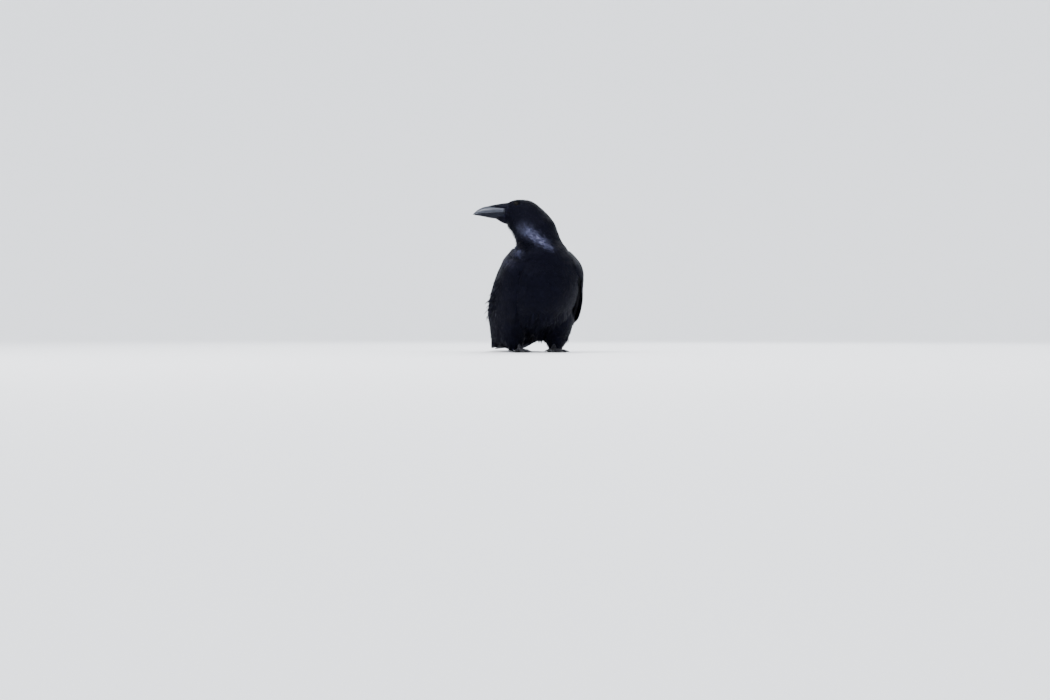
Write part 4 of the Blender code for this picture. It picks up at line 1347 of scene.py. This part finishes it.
def eye_material():
    """Pupil, iris with radial fibres and dark rim, by the angle from
    the eye's axis, under a clear wet coat that ends at the lids."""
    made, paint, sockets = new_material("eye", Coat_Roughness=0.02, Specular_IOR_Level=0.02)
    where = paint.make("UVMap", {"uv_map": "polar"})
    angle = paint.make("SeparateXYZ", (), {0: where})
    fibres = stretched(paint, where, (2.0, 60.0), 1.0, 3.0)
    stops = (
        (0.0, (0.001, 0.001, 0.001)),
        (PUPIL, (0.001, 0.001, 0.001)),
        (PUPIL + 0.03, (0.004, 0.0022, 0.0015)),
        (IRIS - 0.08, (0.0064, 0.0036, 0.0024)),
        (IRIS, (0.002, 0.002, 0.002)),
        (1.0, (0.003, 0.002, 0.002)),
    )
    ring = paint.make("ValToRGB", {"stops": stops}, {0: angle})
    dry = angle.math("GREATER_THAN", angle, LIDS[0][0])
    feed(paint, sockets, Base_Color=(fibres * 0.6).mix(ring, (0, 0, 0, 1)))
    feed(paint, sockets, Roughness=dry * 0.6 + 0.4, Coat_Weight=EYE_GLOSS - dry * EYE_GLOSS)
    return made


def lid_material():
    made, paint, sockets = new_material("lid", Specular_IOR_Level=0.03)
    place = paint.make("TexCoord", output=3)
    grain = paint.make("TexVoronoi", (), {"Vector": place, "Scale": 1500.0})
    base = grain.mix((0.004, 0.004, 0.006, 1), (0.0015, 0.0015, 0.002, 1))
    feed(paint, sockets, Base_Color=base, Roughness=grain * 0.2 + 0.75)
    feed(paint, sockets, Normal=grain.bump(0.5, 0.1 * MM))
    return made


def make_lid(name, side, middle, material):
    """Rings of skin round the eye's opening, thin tubes on the
    ball, wider at the two corners than above and below."""
    gaze, ahead, up = eye_axes(side)
    turn, small = ring_grid(turns(LID_RINGS), LID_SIDES)
    turn, small = turn[..., None], small[..., None]
    across = ahead * np.cos(turn) + up * np.sin(turn)
    folds = []
    for angle, thick, wrinkle in LIDS:
        angle = angle * (1 + 0.14 * np.abs(np.cos(turn)) ** 3 - 0.12 * np.abs(np.sin(turn)))
        outward = gaze * np.cos(angle) + across * np.sin(angle)
        tangent = across * np.cos(angle) - gaze * np.sin(angle)
        girth = MM * thick * (1 + wrinkle * np.sin(23 * turn + 2 * np.sin(3 * turn)))
        ring = outward * (EYE_RADIUS + 0.8 * girth * np.cos(small)) + tangent * girth * np.sin(small)
        faces = np.array(grid_faces(LID_RINGS + 1, LID_SIDES, round_it=True)) % (LID_RINGS * LID_SIDES)
        folds.append((middle + ring.reshape(-1, 3), (faces if side > 0 else faces[:, ::-1]).tolist()))
    lid = put_mesh(name, *joined(folds), material)
    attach(lid, "root")


def make_gape(material):
    """The two lips behind the bill on each side, as tubes
    on the skin that taper to a point where they meet."""
    tubes = []
    thin = np.linspace(1, 0.1, 12) ** 0.7
    s = np.linspace(0.02, GAPE_END, 12)
    for side in (1, -1):
        inset = MM * np.interp(s, (0, 0.5, 1), (1.2, 0.7, 0.4))
        line = body_tube(s, side * (GAPE_TURN - 0.03 + GAPE_SLOPE * s), inset)
        for lip in (1, -1):
            middle = line + CROWNWARD * (lip * GAPE_LIP * MM * thin)[:, None]
            tube = tube_along(middle, GAPE_LIP * MM * thin, 0.7 * MM * thin, CROWNWARD, 30, 12)
            tubes.append(capped_tube(tube))
    lips = put_mesh("gape", *joined(tubes), material)
    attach(lips, "root")


def make_eyes():
    wet, lid_skin = eye_material(), lid_material()
    make_gape(lid_skin)
    for name, side, middle in (("left", 1, EYE_PLACES[0]), ("right", -1, EYE_PLACES[1])):
        gaze, ahead, up = eye_axes(side)
        polar, turn = ring_grid(np.linspace(0.02, math.pi - 0.02, 48), 56)
        hidden = 0.12 * np.clip((polar - LIDS[-1][0]) / 0.6, 0, 1)
        radius = EYE_RADIUS * (0.98 + 0.07 * np.exp(-((polar / 0.5) ** 2)) - hidden)[..., None]
        across = ahead * np.cos(turn)[..., None] - up * np.sin(turn)[..., None] * side
        points = middle + radius * (gaze * np.cos(polar)[..., None] + across * np.sin(polar)[..., None])
        shell, faces = capped_tube(points)
        flat = np.stack([polar, turn / (2 * math.pi)], -1)
        put_surface(f"eye_{name}", shell, faces, wet, "polar", flat)
        make_lid(f"lid_{name}", side, middle, lid_skin)


make_eyes()

# ---------------------------------------------------------------- legs and claws
# Black horny plates overlap down the front of each shank and along the top of each toe; below, the toes have
# soft warty pads, pressed flat on the floor. Each toe ends in a curved, grooved claw.

HOCK, ANKLE = np.array([42.5, 24.0, 34.0]), np.array([36.0, 1.0, 7.5])
FOOT_TURN, SOLE_SINK, HUB_RADIUS = 6.0, 0.7, 6.6
SHANK_STATIONS = ((3.8, 4.6), (3.3, 4.2), (3.5, 4.2), (4.4, 4.9))
# name, degrees inwards from straight ahead, pad length,
# base radius, tip radius, claw length, claw radius, in mm
TOES = (
    ("inner", 24.0, 33.0, 4.7, 3.6, 16.0, 2.4),
    ("middle", 1.0, 45.0, 5.0, 3.7, 18.0, 2.5),
    ("outer", -24.0, 35.0, 4.6, 3.5, 15.0, 2.3),
    ("hind", 176.0, 26.0, 5.2, 4.0, 21.0, 2.8),
)
PADS = np.array([1.0, 1.04, 0.92, 1.06, 0.92, 1.0, 0.97, 0.7])
# Along a claw: share of its length, share of its fall to the floor, share of its radius.
CLAW_CURVE = (
    (-0.12, 0, 1), (0.1, 0, 0.97), (0.36, -0.1, 0.85), (0.68, 0.16, 0.6), (0.9, 0.6, 0.34), (1, 1, 0.1),
)
CLAW_TIP_HEIGHT = 1.4
SCUTE_PITCH, SCUTE_RISE = 3.0, 0.42
FOOT_VOXEL = 0.52 * MM


def toe_line(row, side):
    """Heading of a toe, the middles of its rings and their radii, in mm from between the feet."""
    _, inwards, length, thick, thin, _, _ = row
    turn = math.radians(FOOT_TURN - inwards)
    heading = np.array([side * math.sin(turn), -math.cos(turn), 0.0])
    radius = np.linspace(thick, thin, len(PADS)) * PADS
    path = ANKLE * (side, 1, 0) + heading * np.linspace(1.0, length + 1.2, len(PADS))[:, None]
    return heading, path + SKYWARD * (np.maximum(radius, thin * 0.9) - SOLE_SINK)[:, None], radius


def scale_material():
    """Blue-black horny skin: darker in the seams between plates, slightly polished on top."""
    made, paint, sockets = new_material("scaled_skin", Specular_IOR_Level=0.4)
    place = paint.make("TexCoord", output=3)
    grain = paint.make("TexVoronoi", {"feature": "DISTANCE_TO_EDGE"}, {"Vector": place, "Scale": 800.0})
    cloud = paint.make("TexNoise", (), {"Vector": place, "Scale": 160.0, "Detail": 5.0})
    seam = paint.make("Attribute", {"attribute_name": "seam"}, output=2)
    base = (cloud * 0.8).mix((0.009, 0.0095, 0.013, 1), (0.028, 0.029, 0.035, 1))
    feed(paint, sockets, Base_Color=(seam * 0.9).mix(base, (0.004, 0.004, 0.005, 1)))
    feed(paint, sockets, Roughness=cloud * 0.3 + 0.32)
    feed(paint, sockets, Normal=(grain * 2.0 + cloud * 0.4).bump(0.4, 0.15 * MM))
    return made


def add_scutes(mesh, side):
    """Raises a foot's skin into overlapping plates: a sawtooth along the
    nearest toe on its upper side, or along the shank on its front. Pads below
    are pressed flat at the floor. Seams are written to an attribute."""
    normal = point_values(mesh, "normal")
    at = (point_values(mesh, "co") - FEET) / MM
    best = np.full(len(at), 1e9)
    phase, weight = np.zeros(len(at)), np.zeros(len(at))
    hock, ankle = HOCK * (side, 1, 1), ANKLE * (side, 1, 1)
    lines = [(ankle * (1, 1, 0.6), toe_line(row, side)[0], row[2] + 2, SCUTE_PITCH, SKYWARD) for row in TOES]
    lines.append((ankle, unit(hock - ankle), 40.0, 4.2, unit(np.array([0.15 * side, -1.0, 0.6]))))
    for start, heading, length, pitch, top in lines:
        run = (at - start) @ heading
        away = np.linalg.norm(at - start - np.clip(run, 0, length)[:, None] * heading, axis=1)
        near = away < best
        best = np.where(near, away, best)
        phase = np.where(near, run / pitch % 1.0, phase)
        upper = np.clip(normal @ top * 1.6 - 0.1, 0, 1) * np.clip(run / 4 - 0.4, 0, 1)
        weight = np.where(near, upper, weight)
    rise = weight * (SCUTE_RISE * phase**1.5 - 0.1)
    at = at + normal * rise[:, None]
    at[:, 2] = np.maximum(at[:, 2], 0.02)
    mesh.vertices.foreach_set("co", (FEET + MM * at).ravel())
    seam = mesh.attributes.new("seam", "FLOAT", "POINT")
    groove = weight * np.clip(1 - np.minimum(phase, 1 - phase) * 7, 0, 1)
    seam.data.foreach_set("value", groove.astype(np.float32))
    mesh.update()


def claw_material():
    shine = {"Specular_IOR_Level": 0.5, "Coat_Weight": 0.3, "Coat_Roughness": 0.15}
    made, paint, sockets = new_material("claw_horn", **shine)
    where = paint.make("UVMap", {"uv_map": "claw"})
    streak = stretched(paint, where, (0.3, 4.0), 1.5, 4.0)
    base = streak.mix((0.004, 0.004, 0.006, 1), (0.022, 0.022, 0.026, 1))
    feed(paint, sockets, Base_Color=base, Roughness=streak * 0.2 + 0.18)
    feed(paint, sockets, Normal=streak.bump(0.3, 0.1 * MM))
    return made


def make_foot(name, side, scaled, claw_horn):
    """One skin round shank, ankle and toes, and a claw on each toe."""
    shank = np.linspace(HOCK, ANKLE, 4) * (side, 1, 1)
    shank[0] += unit(shank[0] - shank[1]) * 4
    wide, deep = column(SHANK_STATIONS, 0)[:, 0], column(SHANK_STATIONS, 1)[:, 0]
    polar, turn = ring_grid(np.linspace(3.1, 0.05, 16), 24)
    ball = np.stack([np.sin(polar) * np.cos(turn), np.sin(polar) * np.sin(turn), np.cos(polar)], -1)
    parts = [
        tube_along(shank, wide, deep, np.array([1.0, 0, 0]), 24, 24),
        ball * HUB_RADIUS + (side * ANKLE[0], ANKLE[1], HUB_RADIUS - 0.3),
    ]
    reach, fall, share = np.array(CLAW_CURVE, float).T
    for row in TOES:
        heading, path, radius = toe_line(row, side)
        aside = np.cross(SKYWARD, heading)
        parts.append(tube_along(path, radius, radius, aside, 40, 24))
        start = path[-2] + heading * 0.4
        drop = SKYWARD * (start[2] - CLAW_TIP_HEIGHT) * fall[:, None]
        claw = start + heading * row[5] * reach[:, None] - drop
        ring = tube_along(claw, row[6] * share * 0.8, row[6] * share, aside, 22, 14)
        points, faces = capped_tube(FEET + MM * ring)
        run = np.linalg.norm(ring - ring[:1], axis=-1)
        flat = np.stack([run, np.arange(14) / 2.0 + 0 * run], -1)
        put_surface(f"claw_{row[0]}_{name}", points, faces, claw_horn, "claw", flat)
    closed = [capped_tube(FEET + MM * part) for part in parts]
    foot = fused(f"foot_{name}", *joined(closed), FOOT_VOXEL, 4, scaled)
    add_scutes(foot.data, side)
    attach(foot, "root")
    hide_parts(f"foot_{name}")


scaled_skin, claw_horn = scale_material(), claw_material()
make_foot("left", 1, scaled_skin, claw_horn)
make_foot("right", -1, scaled_skin, claw_horn)

# ---------------------------------------------------------------- finish

size = {"cad": cad_box, "visual": [list(corner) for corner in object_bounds()]}
